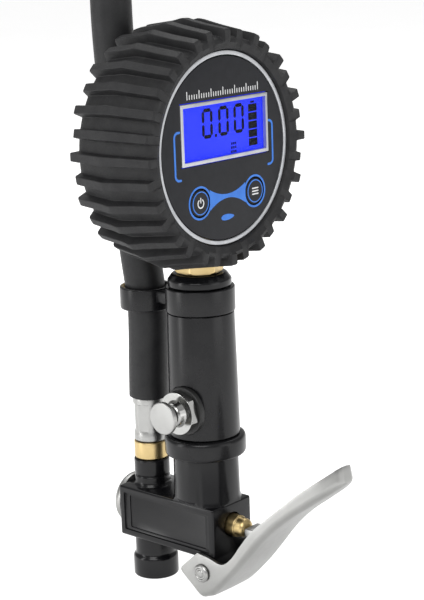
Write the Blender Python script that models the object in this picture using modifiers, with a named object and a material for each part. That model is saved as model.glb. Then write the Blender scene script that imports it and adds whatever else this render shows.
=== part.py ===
"""Hand-held tyre inflator with a digital gauge, as separate parts.

Metres, +Z up. The origin is the centre of the air inlet's mouth. The gauge faces -Y, the hose and
the inlet stand behind the handle, at Y = 0, and the bleed valve points to -X.
Run it with: blender --background --python part.py
"""

import math

import bmesh
import bpy
from mathutils import Euler, Matrix, Vector

MM = 0.001

# Fits
GAP = 0.3 * MM  # between faces that rest on each other
RUN = 0.1 * MM  # round a pin, a stem or a plunger

# Valve body: a block with the handle's neck, the hose boss and the inlet on it
HANDLE_Y = -25.3 * MM  # handle axis; the hose and inlet axis is at Y = 0
BLOCK_WIDTH = 19.2 * MM
BLOCK_HEIGHT = 17.9 * MM
BLOCK_FRONT_REACH = 10.9 * MM  # ahead of the handle axis
BLOCK_BACK_REACH = 7.2 * MM  # behind the inlet axis
PANEL_DEPTH = 0.9 * MM
PANEL_EDGE = 2.3 * MM
NECK_RADIUS = 11.1 * MM
NECK_HEIGHT = 15.8 * MM
SPIGOT_RADIUS = 8.1 * MM
SPIGOT_LENGTH = 13.0 * MM
AIR_RADIUS = 1.7 * MM
INLET_LENGTH = 15.3 * MM
INLET_RADIUS = 6.9 * MM
INLET_LIP_RADIUS = 7.8 * MM
INLET_LIP_HEIGHT = 7.6 * MM
INLET_BORE_RADIUS = 5.0 * MM
INLET_BORE_DEPTH = 13.0 * MM
BOSS_RADIUS = 6.1 * MM
BOSS_HEIGHT = 9.3 * MM
FITTING_HOLE_RADIUS = 3.5 * MM
LUG_INSET = 0.6 * MM  # from each side of the block
LUG_RADIUS = 4.3 * MM

# Valve, on a line along Y through the block
VALVE_RISE = 10.4 * MM  # above the block's underside
VALVE_BORE_RADIUS = 4.3 * MM
PLUNGER_CLEARANCE = 0.6 * MM  # to the bore
PLUNGER_OUT = 7.4 * MM  # ahead of the block at rest
PLUNGER_IN = 1.8 * MM
PLUNGER_TRAVEL = 3.1 * MM
STEM_RADIUS = 1.6 * MM
BUSH_LENGTH = 2.6 * MM
SEAL_LENGTH = 1.4 * MM
SEAT_LENGTH = 3.0 * MM
SEAT_HOLE_RADIUS = 2.6 * MM
POPPET_CLEARANCE = 0.9 * MM  # to the bore
POPPET_LENGTH = 2.4 * MM
SEAT_TO_BACK = 14.2 * MM  # from the seat's rear face to the block's rear face
CAP_RADIUS = 9.2 * MM
CAP_THICKNESS = 5.3 * MM
CAP_PLUG_LENGTH = 5.0 * MM

# Lever, seen from its side: ahead of the pivot and above it
PIVOT_AHEAD = 6.5 * MM  # of the handle axis
PIVOT_DROP = 4.4 * MM  # below the block
PIN_RADIUS = 1.6 * MM
RIVET_RADIUS = 3.1 * MM
RIVET_HEIGHT = 1.1 * MM
SHEET = 1.2 * MM
CHEEK_CLEARANCE = 0.4 * MM  # between the lever's cheeks and the block
LEVER_SECTIONS = (  # (plate ahead, plate up, rim ahead, rim up) in mm, and the share of the full width
    (0.2, -9.0, -10.2, -0.8, 1.0),
    (3.4, -7.8, -2.1, 7.0, 1.0),
    (6.2, -5.2, 2.9, 6.0, 1.0),
    (9.2, -2.0, 8.8, 5.0, 1.0),
    (13.5, 2.6, 12.9, 8.1, 0.973),
    (18.5, 8.5, 16.8, 13.5, 0.946),
    (23.5, 14.6, 21.0, 18.9, 0.902),
    (28.8, 20.2, 26.3, 23.9, 0.83),
    (35.0, 25.6, 32.3, 29.2, 0.75),
    (40.8, 29.9, 38.0, 34.2, 0.679),
    (46.0, 33.8, 43.6, 38.6, 0.625),
    (49.4, 36.4, 47.6, 41.6, 0.536),
    (51.9, 38.6, 50.6, 43.8, 0.375),
    (53.2, 40.0, 52.2, 44.9, 0.17),
)
TONGUE_WIDTH = 7.0 * MM
TONGUE_HEIGHT = 3.4 * MM
TONGUE_GAP = 0.5 * MM  # to the plunger

# Handle
COLLAR_RADIUS = 13.6 * MM
COLLAR_HEIGHT = 6.6 * MM
HANDLE_LOW_RADIUS = 11.8 * MM
HANDLE_HIGH_RADIUS = 11.1 * MM
HANDLE_LENGTH = 41.5 * MM
HANDLE_WALL = 2.6 * MM
CAP_FLANGE_RADIUS = 10.5 * MM
CAP_FLANGE_HEIGHT = 2.2 * MM
CAP_CONE_RADIUS = 9.0 * MM
CAP_CONE_HEIGHT = 2.0 * MM
CAP_SPIGOT_LENGTH = 14.0 * MM

# Clip: a band round the top of the handle and a ring round the hose
BAND_RADIUS = 11.5 * MM
BAND_HEIGHT = 8.2 * MM
RING_RADIUS = 9.0 * MM
RING_HEIGHT = 7.6 * MM
RING_DROP = 2.4 * MM  # how far the ring sits below the band
CLIP_CLEARANCE = 0.4 * MM  # to the hose

# Bleed valve, on a line along X into the side of the handle
BLEED_AHEAD = 2.0 * MM  # of the handle axis
BLEED_RISE = 10.4 * MM  # above the foot of the tube
BLEED_WASHER_RADIUS = 8.0 * MM
BLEED_WASHER_THICKNESS = 1.8 * MM
BLEED_WASHER_PROUD = 0.8 * MM  # of the handle's widest radius
BLEED_HEX_RADIUS = 7.4 * MM
BLEED_HEX_LENGTH = 3.0 * MM
BLEED_NECK_RADIUS = 4.0 * MM
BLEED_NECK_PROUD = 6.0 * MM  # of the washer
BLEED_SPIGOT_RADIUS = 3.6 * MM
BLEED_STEM_RADIUS = 1.4 * MM
BLEED_BUTTON_RADIUS = 5.4 * MM
BLEED_BUTTON_THICKNESS = 1.6 * MM
BLEED_BUTTON_PROUD = 4.0 * MM  # of the neck
BLEED_TRAVEL = 2.0 * MM

# Gauge, in its own frame: x right, y up, z ahead of the handle axis
HEAD_CLEARANCE = 0.8 * MM  # between the boot and the top of the handle
FACE_AHEAD = 12.9 * MM
RING_WIDTH = 1.4 * MM
RING_INSET = 2.3 * MM  # from the outside of the case
CASE_RADIUS = 33.0 * MM
CASE_WALL = 2.0 * MM
CASE_BACK = -14.0 * MM
BOOT_FRONT = 15.0 * MM
BOOT_CREST = -2.5 * MM
BOOT_BACK = -17.6 * MM
BOOT_FRONT_WALL = 1.9 * MM
BOOT_CREST_WALL = 4.4 * MM
BOOT_BACK_WALL = 2.2 * MM
BOOT_BACK_LIP = 6.0 * MM
RIBS = 32
RIB_HEIGHT = 3.1 * MM
RIB_WIDTH = 3.0 * MM
RIB_STEP = 1.3 * MM  # every other rib is this much shorter at each end
SCREEN_CENTRE = (0.7 * MM, 6.0 * MM)
FRAME_SIZE = (41.6 * MM, 19.2 * MM)
FRAME_EDGE = 1.15 * MM
SCREEN_THICKNESS = 2.2 * MM
BOARD_THICKNESS = 1.2 * MM
BUTTON_PLACES = {"on": (-12.4 * MM, -15.7 * MM), "function": (14.0 * MM, -15.6 * MM)}
BUTTON_RADIUS = 4.3 * MM
BUTTON_TRAVEL = 0.5 * MM
BATTERY_RADIUS = 5.25 * MM
BATTERY_LENGTH = 44.5 * MM
BATTERY_SPACING = 13.0 * MM
DOOR_SIZE = (44.0 * MM, 28.0 * MM)

# Brass stem between the handle and the gauge
STEM_PIPE_RADIUS = 4.9 * MM
STEM_HEX_RADIUS = 8.1 * MM
STEM_HEX_LENGTH = 4.6 * MM
SENSOR_RADIUS = 5.5 * MM
SENSOR_HEIGHT = 4.6 * MM

# Hose and what is on its ends
HOSE_RADIUS = 7.0 * MM
FITTING_RADIUS = 5.8 * MM
FITTING_HEIGHT = 6.0 * MM
BARB_RADIUS = 2.9 * MM
FERRULE_RADIUS = 5.7 * MM
FERRULE_HEIGHT = 15.2 * MM
HOSE_ROUTE = (  # from the ferrule, through the clip, up and over, and down behind the gauge, in mm
    (0.0, 0.0, 64.6),
    (0.2, -0.25, 76.0),
    (0.5, -0.55, 88.0),
    (0.5, -0.4, 99.0),
    (-0.5, 0.9, 115.0),
    (-2.0, 1.7, 134.0),
    (-3.5, 2.3, 152.0),
    (-4.8, 3.3, 170.0),
    (-5.4, 3.9, 186.0),
    (-5.3, 4.3, 200.0),
    (-0.4, 9.1, 226.0),
    (13.2, 22.4, 245.0),
    (31.8, 40.6, 252.0),
    (50.3, 58.8, 245.0),
    (63.9, 72.1, 226.0),
    (68.9, 77.0, 200.0),
    (68.9, 77.0, 186.0),
    (68.9, 77.0, 173.0),
    (68.9, 77.0, 161.0),
)
HOSE_POINTS = 34
CLIP_POINT = 3  # the point of the route that is in the clip
CHUCK_RADIUS = 6.8 * MM
CHUCK_LENGTH = 26.0 * MM
CHUCK_HEAD_RADIUS = 8.6 * MM
CHUCK_HEAD_LENGTH = 13.0 * MM
CHUCK_BORE_RADIUS = 4.6 * MM
CHUCK_BORE_DEPTH = 9.0 * MM

STEPS = 28  # faces round a turned part
FINE_STEPS = 48  # faces round the gauge
SMALL_STEPS = 20  # faces round a small part

BLOCK_BOTTOM = INLET_LENGTH
BLOCK_TOP = BLOCK_BOTTOM + BLOCK_HEIGHT
BLOCK_FRONT = HANDLE_Y - BLOCK_FRONT_REACH
NECK_TOP = BLOCK_TOP + NECK_HEIGHT
BOSS_TOP = BLOCK_TOP + BOSS_HEIGHT
LUG_WIDTH = BLOCK_WIDTH - 2 * LUG_INSET
VALVE_Z = BLOCK_BOTTOM + VALVE_RISE
PLUNGER_RADIUS = VALVE_BORE_RADIUS - PLUNGER_CLEARANCE
POPPET_RADIUS = VALVE_BORE_RADIUS - POPPET_CLEARANCE
PIVOT_Z = BLOCK_BOTTOM - PIVOT_DROP
PIVOT_Y = HANDLE_Y - PIVOT_AHEAD
LEVER_HALF = BLOCK_WIDTH / 2 + CHEEK_CLEARANCE + SHEET
COLLAR_LOW = NECK_TOP + GAP
COLLAR_TOP = COLLAR_LOW + COLLAR_HEIGHT
HANDLE_LOW = COLLAR_TOP + GAP
HANDLE_HIGH = HANDLE_LOW + HANDLE_LENGTH
HANDLE_INNER = HANDLE_HIGH_RADIUS - HANDLE_WALL
BAND_LOW = HANDLE_HIGH + GAP
FLANGE_LOW = BAND_LOW + BAND_HEIGHT + GAP
CAP_TOP = FLANGE_LOW + CAP_FLANGE_HEIGHT + CAP_CONE_HEIGHT
CAP_SPIGOT_RADIUS = HANDLE_INNER - GAP
FITTING_TOP = BOSS_TOP + GAP + FITTING_HEIGHT
BLEED_Z = HANDLE_LOW + BLEED_RISE
BLEED_WASHER_REACH = HANDLE_LOW_RADIUS + BLEED_WASHER_PROUD
BLEED_WASHER_SEAT = BLEED_WASHER_REACH - BLEED_WASHER_THICKNESS
BLEED_NECK_REACH = BLEED_WASHER_REACH + BLEED_NECK_PROUD
BLEED_BUTTON_REACH = BLEED_NECK_REACH + BLEED_BUTTON_PROUD
BOOT_FRONT_RADIUS = CASE_RADIUS + BOOT_FRONT_WALL
BOOT_CREST_RADIUS = CASE_RADIUS + BOOT_CREST_WALL
BOOT_BACK_RADIUS = CASE_RADIUS + BOOT_BACK_WALL
BOOT_OPENING = CASE_RADIUS - BOOT_BACK_LIP
RING_OUTER = CASE_RADIUS - RING_INSET
RING_INNER = RING_OUTER - RING_WIDTH
GAUGE_Z = CAP_TOP + BOOT_CREST_RADIUS + RIB_HEIGHT + HEAD_CLEARANCE


# Tools

parts = bpy.data.collections.new("tyre_inflator")
cutters = bpy.data.collections.new("cutters")


def clear_scene():
    for old in list(bpy.data.objects):
        bpy.data.objects.remove(old, do_unlink=True)
    for collection in (parts, cutters):
        bpy.context.scene.collection.children.link(collection)


def material(name, color, roughness, metallic=0.0, alpha=1.0):
    made = bpy.data.materials.new(name)
    made.use_nodes = True
    made.diffuse_color = (*color, alpha)
    shader = made.node_tree.nodes["Principled BSDF"]
    shader.inputs["Base Color"].default_value = (*color, 1)
    shader.inputs["Roughness"].default_value = roughness
    shader.inputs["Metallic"].default_value = metallic
    shader.inputs["Alpha"].default_value = alpha
    return made


def axis_frame(name, location, rotation=(0, 0, 0)):
    """An empty that a group of parts is placed on."""
    empty = bpy.data.objects.new(name, None)
    empty.location = location
    empty.rotation_euler = Euler([math.radians(angle) for angle in rotation])
    parts.objects.link(empty)
    return empty


def keep(name, mesh, finish=None, place=(0, 0, 0), parent=None):
    """The mesh as a part, or as a cutter where it has no finish."""
    obj = bpy.data.objects.new(name, mesh)
    obj.location = place
    obj.parent = parent
    if finish is None:
        cutters.objects.link(obj)
        obj.hide_render = True
        obj.display_type = "WIRE"
    else:
        parts.objects.link(obj)
        mesh.materials.append(finish)
        mesh.shade_smooth()
        mesh.set_sharp_from_angle(angle=math.radians(35))
    return obj


def mesh_of(bm):
    bmesh.ops.recalc_face_normals(bm, faces=bm.faces)
    mesh = bpy.data.meshes.new("shape")
    bm.to_mesh(mesh)
    bm.free()
    return mesh


def box_mesh(size, centre=(0, 0, 0)):
    bm = bmesh.new()
    bmesh.ops.create_cube(bm, size=1)
    bmesh.ops.scale(bm, vec=size, verts=bm.verts)
    bmesh.ops.translate(bm, vec=centre, verts=bm.verts)
    return mesh_of(bm)


def prism_mesh(radius, low, high, sides=SMALL_STEPS, centre=(0, 0), turn=0.0):
    """A cylinder or a hexagon along Z."""
    bm = bmesh.new()
    bmesh.ops.create_cone(
        bm, cap_ends=True, segments=sides, radius1=radius, radius2=radius, depth=high - low
    )
    bmesh.ops.rotate(bm, verts=bm.verts, matrix=Matrix.Rotation(turn, 3, "Z"))
    bmesh.ops.translate(bm, vec=(*centre, (low + high) / 2), verts=bm.verts)
    return mesh_of(bm)


def along_y(mesh, x, z, y=0.0):
    """Turn a shape made along Z to point to -Y."""
    mesh.transform(Matrix.Translation((x, y, z)) @ Matrix.Rotation(math.pi / 2, 4, "X"))
    return mesh


def turned(name, outline, finish=None, place=(0, 0, 0), parent=None, steps=STEPS):
    """A Screw of (radius, height) points that run down the outer side, then up any bore."""
    mesh = bpy.data.meshes.new("profile")
    edges = [(i, i + 1) for i in range(len(outline) - 1)]
    if outline[0][0] > 0:
        edges.append((len(outline) - 1, 0))
    mesh.from_pydata([(radius, 0, height) for radius, height in outline], edges, [])
    obj = keep(name, mesh, finish, place, parent)
    screw = obj.modifiers.new("turn", "SCREW")
    screw.steps = screw.render_steps = steps
    screw.use_merge_vertices = True
    screw.merge_threshold = 1e-6
    screw.use_smooth_shade = True
    return obj


def ring_outline(inner, outer, low, high):
    return [(outer, high), (outer, low), (inner, low), (inner, high)]


def rod_outline(radius, low, high):
    return [(0, high), (radius, high), (radius, low), (0, low)]


def bevelled(obj, width, segments=2, angle=40):
    bevel = obj.modifiers.new("edge", "BEVEL")
    bevel.width = width
    bevel.segments = segments
    bevel.limit_method = "ANGLE"
    bevel.angle_limit = math.radians(angle)
    return obj


def combined(obj, other, operation):
    boolean = obj.modifiers.new(operation.lower(), "BOOLEAN")
    boolean.operation = operation
    boolean.object = other
    return obj


def cut(obj, *others):
    for other in others:
        combined(obj, other, "DIFFERENCE")
    return obj


def joined(obj, *others):
    for other in others:
        combined(obj, other, "UNION")
    return obj


def smooth_points(route, count):
    """Points at equal parameter steps on the Catmull-Rom curve through the route."""
    points = [Vector(point) for point in route]
    ends = [2 * points[0] - points[1], *points, 2 * points[-1] - points[-2]]
    found = []
    for step in range(count):
        at = step * (len(points) - 1) / (count - 1)
        k = min(int(at), len(points) - 2)
        t = at - k
        a, b, c, d = ends[k : k + 4]
        found.append(
            0.5 * (2 * b + (c - a) * t + (2 * a - 5 * b + 4 * c - d) * t**2)
            + 0.5 * (3 * b - a - 3 * c + d) * t**3
        )
    return found


def tube(name, points, radius, finish, rounds=2):
    curve = bpy.data.curves.new(name, "CURVE")
    curve.dimensions = "3D"
    curve.bevel_depth = radius
    curve.bevel_resolution = rounds
    curve.use_fill_caps = True
    spline = curve.splines.new("POLY")
    spline.points.add(len(points) - 1)
    for point, place in zip(spline.points, points):
        point.co = (*place, 1)
    curve.materials.append(finish)
    obj = bpy.data.objects.new(name, curve)
    parts.objects.link(obj)
    return obj


def coil_points(radius, low, high, turns, per_turn=10):
    """A helix about Z with its ends brought flat."""
    total = round(turns * per_turn)
    found = []
    for step in range(total + 1):
        angle = 2 * math.pi * step / per_turn
        share = min(1, max(0, (step - per_turn / 2) / (total - per_turn)))
        found.append((radius * math.cos(angle), radius * math.sin(angle), low + share * (high - low)))
    return found


# Materials

CAST = material("black_cast", (0.012, 0.012, 0.013), 0.28)
GRIP = material("black_grip", (0.02, 0.02, 0.021), 0.3)
RUBBER = material("boot_rubber", (0.028, 0.028, 0.03), 0.62)
HOSE = material("hose_rubber", (0.022, 0.022, 0.023), 0.5)
BRASS = material("brass", (0.62, 0.43, 0.16), 0.25, 1.0)
CHROME = material("chrome", (0.72, 0.72, 0.71), 0.18, 1.0)
SILVER = material("silver_trim", (0.6, 0.6, 0.61), 0.3, 0.8)
PANEL = material("face_panel", (0.018, 0.019, 0.023), 0.35)
CASE = material("case_plastic", (0.02, 0.02, 0.021), 0.45)
SCREEN = material("screen_blue", (0.03, 0.06, 0.9), 0.3)
CLEAR = material("clear_lens", (0.8, 0.85, 0.9), 0.05, alpha=0.3)
BOARD = material("circuit_board", (0.02, 0.18, 0.06), 0.5)
CELL = material("battery_jacket", (0.3, 0.32, 0.34), 0.35, 0.3)
SPRING = material("spring_steel", (0.55, 0.55, 0.56), 0.3, 1.0)
SEAL = material("seal_rubber", (0.015, 0.015, 0.015), 0.7)


# Valve body and valve


def valve_body():
    """The cast block: neck, hose boss, inlet and lever lug, with its bores and side panels."""
    length = BLOCK_BACK_REACH - BLOCK_FRONT
    middle = (BLOCK_BACK_REACH + BLOCK_FRONT) / 2
    height = BLOCK_TOP - BLOCK_BOTTOM
    block = box_mesh(
        (BLOCK_WIDTH, length, height), (0, middle, (BLOCK_TOP + BLOCK_BOTTOM) / 2)
    )
    body = bevelled(keep("valve_body", block, CAST), 0.7 * MM, 2)
    handle = (0, HANDLE_Y, 0)
    neck_outline = [
        (0, NECK_TOP + SPIGOT_LENGTH),
        (SPIGOT_RADIUS, NECK_TOP + SPIGOT_LENGTH),
        (SPIGOT_RADIUS, NECK_TOP),
        (NECK_RADIUS - 0.4 * MM, NECK_TOP),
        (NECK_RADIUS, BLOCK_BOTTOM + height / 2),
        (0, BLOCK_BOTTOM + height / 2),
    ]
    # The neck overhangs the block's sides, so below the block's top it is trimmed to their width.
    neck = turned("neck", neck_outline, place=handle)
    reach = 2 * NECK_RADIUS
    for side in (-1, 1):
        trim = box_mesh(
            (reach, 2 * reach, height),
            (side * (BLOCK_WIDTH / 2 - 1 * MM + reach / 2), HANDLE_Y, BLOCK_TOP - height / 2 - 1 * MM),
        )
        cut(neck, keep(f"neck_trim{side}", trim))
    boss = turned("boss", rod_outline(BOSS_RADIUS, VALVE_Z, BOSS_TOP), steps=24)
    inlet_outline = [
        (0, VALVE_Z),
        (INLET_RADIUS, VALVE_Z),
        (INLET_RADIUS, INLET_LIP_HEIGHT),
        (INLET_LIP_RADIUS, INLET_LIP_HEIGHT - 0.6 * MM),
        (INLET_LIP_RADIUS, 0.5 * MM),
        (INLET_LIP_RADIUS - 0.5 * MM, 0),
        (0, 0),
    ]
    inlet = turned("inlet", inlet_outline)
    lug = prism_mesh(LUG_RADIUS, -LUG_WIDTH / 2, LUG_WIDTH / 2, 24)
    lug.transform(Matrix.Translation((0, PIVOT_Y, PIVOT_Z)) @ Matrix.Rotation(math.pi / 2, 4, "Y"))
    web = box_mesh(
        (LUG_WIDTH, 2 * LUG_RADIUS - 0.1 * MM, BLOCK_BOTTOM + 1 * MM - PIVOT_Z),
        (0, PIVOT_Y, (BLOCK_BOTTOM + 1 * MM + PIVOT_Z) / 2),
    )
    joined(body, neck, boss, inlet, keep("lug", lug), keep("lug_web", web))

    panel_size = (2 * PANEL_DEPTH, length - 2 * PANEL_EDGE, height - 2 * PANEL_EDGE)
    for side in (-1, 1):
        centre = (side * BLOCK_WIDTH / 2, middle, (BLOCK_TOP + BLOCK_BOTTOM) / 2)
        panel = keep(f"panel_recess{side}", box_mesh(panel_size, centre))
        cut(body, bevelled(panel, 0.5 * MM, 1))
    valve_bore = along_y(
        prism_mesh(VALVE_BORE_RADIUS, -BLOCK_BACK_REACH - 1 * MM, 1 * MM - BLOCK_FRONT, 24), 0, VALVE_Z
    )
    inlet_bore = prism_mesh(INLET_BORE_RADIUS, -1 * MM, INLET_BORE_DEPTH, 24)
    inlet_port = prism_mesh(3.0 * MM, INLET_BORE_DEPTH - 1 * MM, VALVE_Z, 16)
    fitting_hole = prism_mesh(FITTING_HOLE_RADIUS, BLOCK_TOP + 1 * MM, BOSS_TOP + 1 * MM, 20)
    air_way = prism_mesh(
        AIR_RADIUS, VALVE_Z, NECK_TOP + SPIGOT_LENGTH + 1 * MM, 12, (0, HANDLE_Y + AIR_RADIUS)
    )
    # The way out to the hose slants forward, to the chamber ahead of the seat.
    slant_top = Vector((0, 0, BLOCK_TOP + 2 * MM))
    slant_foot = Vector((0, BLOCK_BACK_REACH - SEAT_TO_BACK - SEAT_LENGTH - 3 * MM, VALVE_Z))
    slant = prism_mesh(AIR_RADIUS, 0, (slant_top - slant_foot).length, 12)
    tilt = Vector((0, 0, 1)).rotation_difference(slant_top - slant_foot).to_matrix().to_4x4()
    slant.transform(Matrix.Translation(slant_foot) @ tilt)
    pin_hole = prism_mesh(PIN_RADIUS + RUN, -LUG_WIDTH, LUG_WIDTH, 16)
    pin_hole.transform(Matrix.Translation((0, PIVOT_Y, PIVOT_Z)) @ Matrix.Rotation(math.pi / 2, 4, "Y"))
    holes = dict(
        valve_bore=valve_bore,
        inlet_bore=inlet_bore,
        inlet_port=inlet_port,
        fitting_hole=fitting_hole,
        air_way=air_way,
        slant=slant,
        pin_hole=pin_hole,
    )
    cut(body, *(keep(name, mesh) for name, mesh in holes.items()))
    return body


def valve_parts():
    """What lies in the valve bore; local z is ahead of the inlet axis."""
    bore = axis_frame("valve_line", (0, 0, VALVE_Z), (90, 0, 0))
    front = -BLOCK_FRONT
    liner = VALVE_BORE_RADIUS - GAP
    head_back = front - PLUNGER_IN
    bush_front = head_back - PLUNGER_TRAVEL - 0.4 * MM
    seal_front = bush_front - BUSH_LENGTH - GAP
    seat_back = SEAT_TO_BACK - BLOCK_BACK_REACH
    poppet_front = seat_back - GAP
    poppet_back = poppet_front - POPPET_LENGTH
    tip = front + PLUNGER_OUT
    plunger_outline = [
        (0, tip),
        (1.3 * MM, tip - 0.1 * MM),
        (2.3 * MM, tip - 0.9 * MM),
        (PLUNGER_RADIUS, tip - 2.6 * MM),
        (PLUNGER_RADIUS, head_back),
        (STEM_RADIUS, head_back),
        (STEM_RADIUS, poppet_front + GAP),
        (0, poppet_front + GAP),
    ]
    plunger = turned("plunger", plunger_outline, BRASS, parent=bore, steps=24)
    bush = ring_outline(STEM_RADIUS + RUN, liner, bush_front - BUSH_LENGTH, bush_front)
    turned("plunger_bush", bush, BRASS, parent=bore, steps=SMALL_STEPS)
    seal = ring_outline(STEM_RADIUS + RUN, liner, seal_front - SEAL_LENGTH, seal_front)
    turned("plunger_seal", seal, SEAL, parent=bore, steps=SMALL_STEPS)
    seat = ring_outline(SEAT_HOLE_RADIUS, liner, seat_back, seat_back + SEAT_LENGTH)
    turned("valve_seat", seat, BRASS, parent=bore, steps=SMALL_STEPS)
    poppet = rod_outline(POPPET_RADIUS, poppet_back, poppet_front)
    turned("poppet", poppet, SEAL, parent=bore, steps=SMALL_STEPS)

    block_back = -BLOCK_BACK_REACH
    plug_front = block_back + CAP_PLUG_LENGTH
    plug_radius = liner
    head = block_back - GAP
    cap_outline = [
        (0, plug_front),
        (plug_radius, plug_front),
        (plug_radius, head),
        (CAP_RADIUS, head),
        (CAP_RADIUS, head - 0.4 * CAP_THICKNESS),
        (CAP_RADIUS - 1.0 * MM, head - 0.65 * CAP_THICKNESS),
        (CAP_RADIUS - 3.0 * MM, head - 0.87 * CAP_THICKNESS),
        (CAP_RADIUS - 6.0 * MM, head - CAP_THICKNESS),
        (0, head - CAP_THICKNESS),
    ]
    turned("valve_end_cap", cap_outline, CHROME, parent=bore)
    spring = coil_points(2.7 * MM, plug_front + 0.7 * MM, poppet_back - 0.7 * MM, 4)
    coil = tube("poppet_spring", spring, 0.35 * MM, SPRING, rounds=1)
    coil.parent = bore
    return plunger


# Lever


def lever_sheet():
    """The lever's trough as an open sheet, in the part's frame at rest."""
    bm = bmesh.new()
    rows = []
    for ahead, up, rim_ahead, rim_up, share in LEVER_SECTIONS:
        half = LEVER_HALF * share
        plate = Vector((0, -ahead, up)) * MM
        rim = Vector((0, -rim_ahead, rim_up)) * MM
        inward = (rim - plate).normalized()
        corner = min(1.6 * MM, half / 3)
        row = []
        for side in (-1, 1):
            edge = Vector((side * half, 0, 0))
            cheek = [rim + edge, plate + edge + inward * corner]
            floor = [plate + edge - Vector((side * corner, 0, 0))]
            row += cheek + floor if side < 0 else floor[::-1] + cheek[::-1]
        rows.append([bm.verts.new(point) for point in row])
    for one, two in zip(rows, rows[1:]):
        for k in range(len(one) - 1):
            bm.faces.new((one[k], one[k + 1], two[k + 1], two[k]))
    last = rows[-1]
    bm.faces.new((last[0], last[1], last[4], last[5]))
    bm.faces.new((last[1], last[2], last[3], last[4]))
    return mesh_of(bm)


def lever_parts():
    """The lever, which turns on its pin in the lug; its frame is on the pin's axis."""
    pivot = axis_frame("lever_pivot", (0, PIVOT_Y, PIVOT_Z))
    lever = keep("lever", lever_sheet(), CHROME, parent=pivot)
    shell = lever.modifiers.new("sheet", "SOLIDIFY")
    shell.thickness = SHEET
    shell.offset = -1
    shell.use_even_offset = True

    rise = VALVE_Z - PIVOT_Z
    near = PLUNGER_OUT + BLOCK_FRONT_REACH - PIVOT_AHEAD + TONGUE_GAP
    far = plate_ahead(rise - 0.3 * MM - TONGUE_HEIGHT / 2) - SHEET / 3
    tongue = box_mesh(
        (TONGUE_WIDTH, far - near, TONGUE_HEIGHT), (0, -(near + far) / 2, rise - 0.3 * MM)
    )
    joined(lever, keep("lever_tongue", tongue, parent=pivot))
    hole = prism_mesh(PIN_RADIUS + RUN, -20 * MM, 20 * MM, 16)
    hole.transform(Matrix.Rotation(math.pi / 2, 4, "Y"))
    cut(lever, keep("lever_pin_hole", hole, parent=pivot))

    half = LEVER_HALF + GAP
    pin_outline = [
        (0, half + RIVET_HEIGHT),
        (RIVET_RADIUS - 1.2 * MM, half + RIVET_HEIGHT),
        (RIVET_RADIUS, half + 0.3 * MM),
        (RIVET_RADIUS, half),
        (PIN_RADIUS, half),
        (PIN_RADIUS, -half),
        (RIVET_RADIUS, -half),
        (RIVET_RADIUS, -half - 0.3 * MM),
        (RIVET_RADIUS - 1.2 * MM, -half - RIVET_HEIGHT),
        (0, -half - RIVET_HEIGHT),
    ]
    pin = turned("lever_pin", pin_outline, CHROME, parent=pivot, steps=16)
    pin.rotation_euler = (0, math.pi / 2, 0)


def plate_ahead(height):
    """How far ahead of the pivot the lever's plate is, at a height above it."""
    for one, two in zip(LEVER_SECTIONS, LEVER_SECTIONS[1:]):
        if one[1] * MM <= height <= two[1] * MM:
            share = (height - one[1] * MM) / ((two[1] - one[1]) * MM)
            return (one[0] + share * (two[0] - one[0])) * MM
    return LEVER_SECTIONS[-1][0] * MM


# Handle


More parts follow.
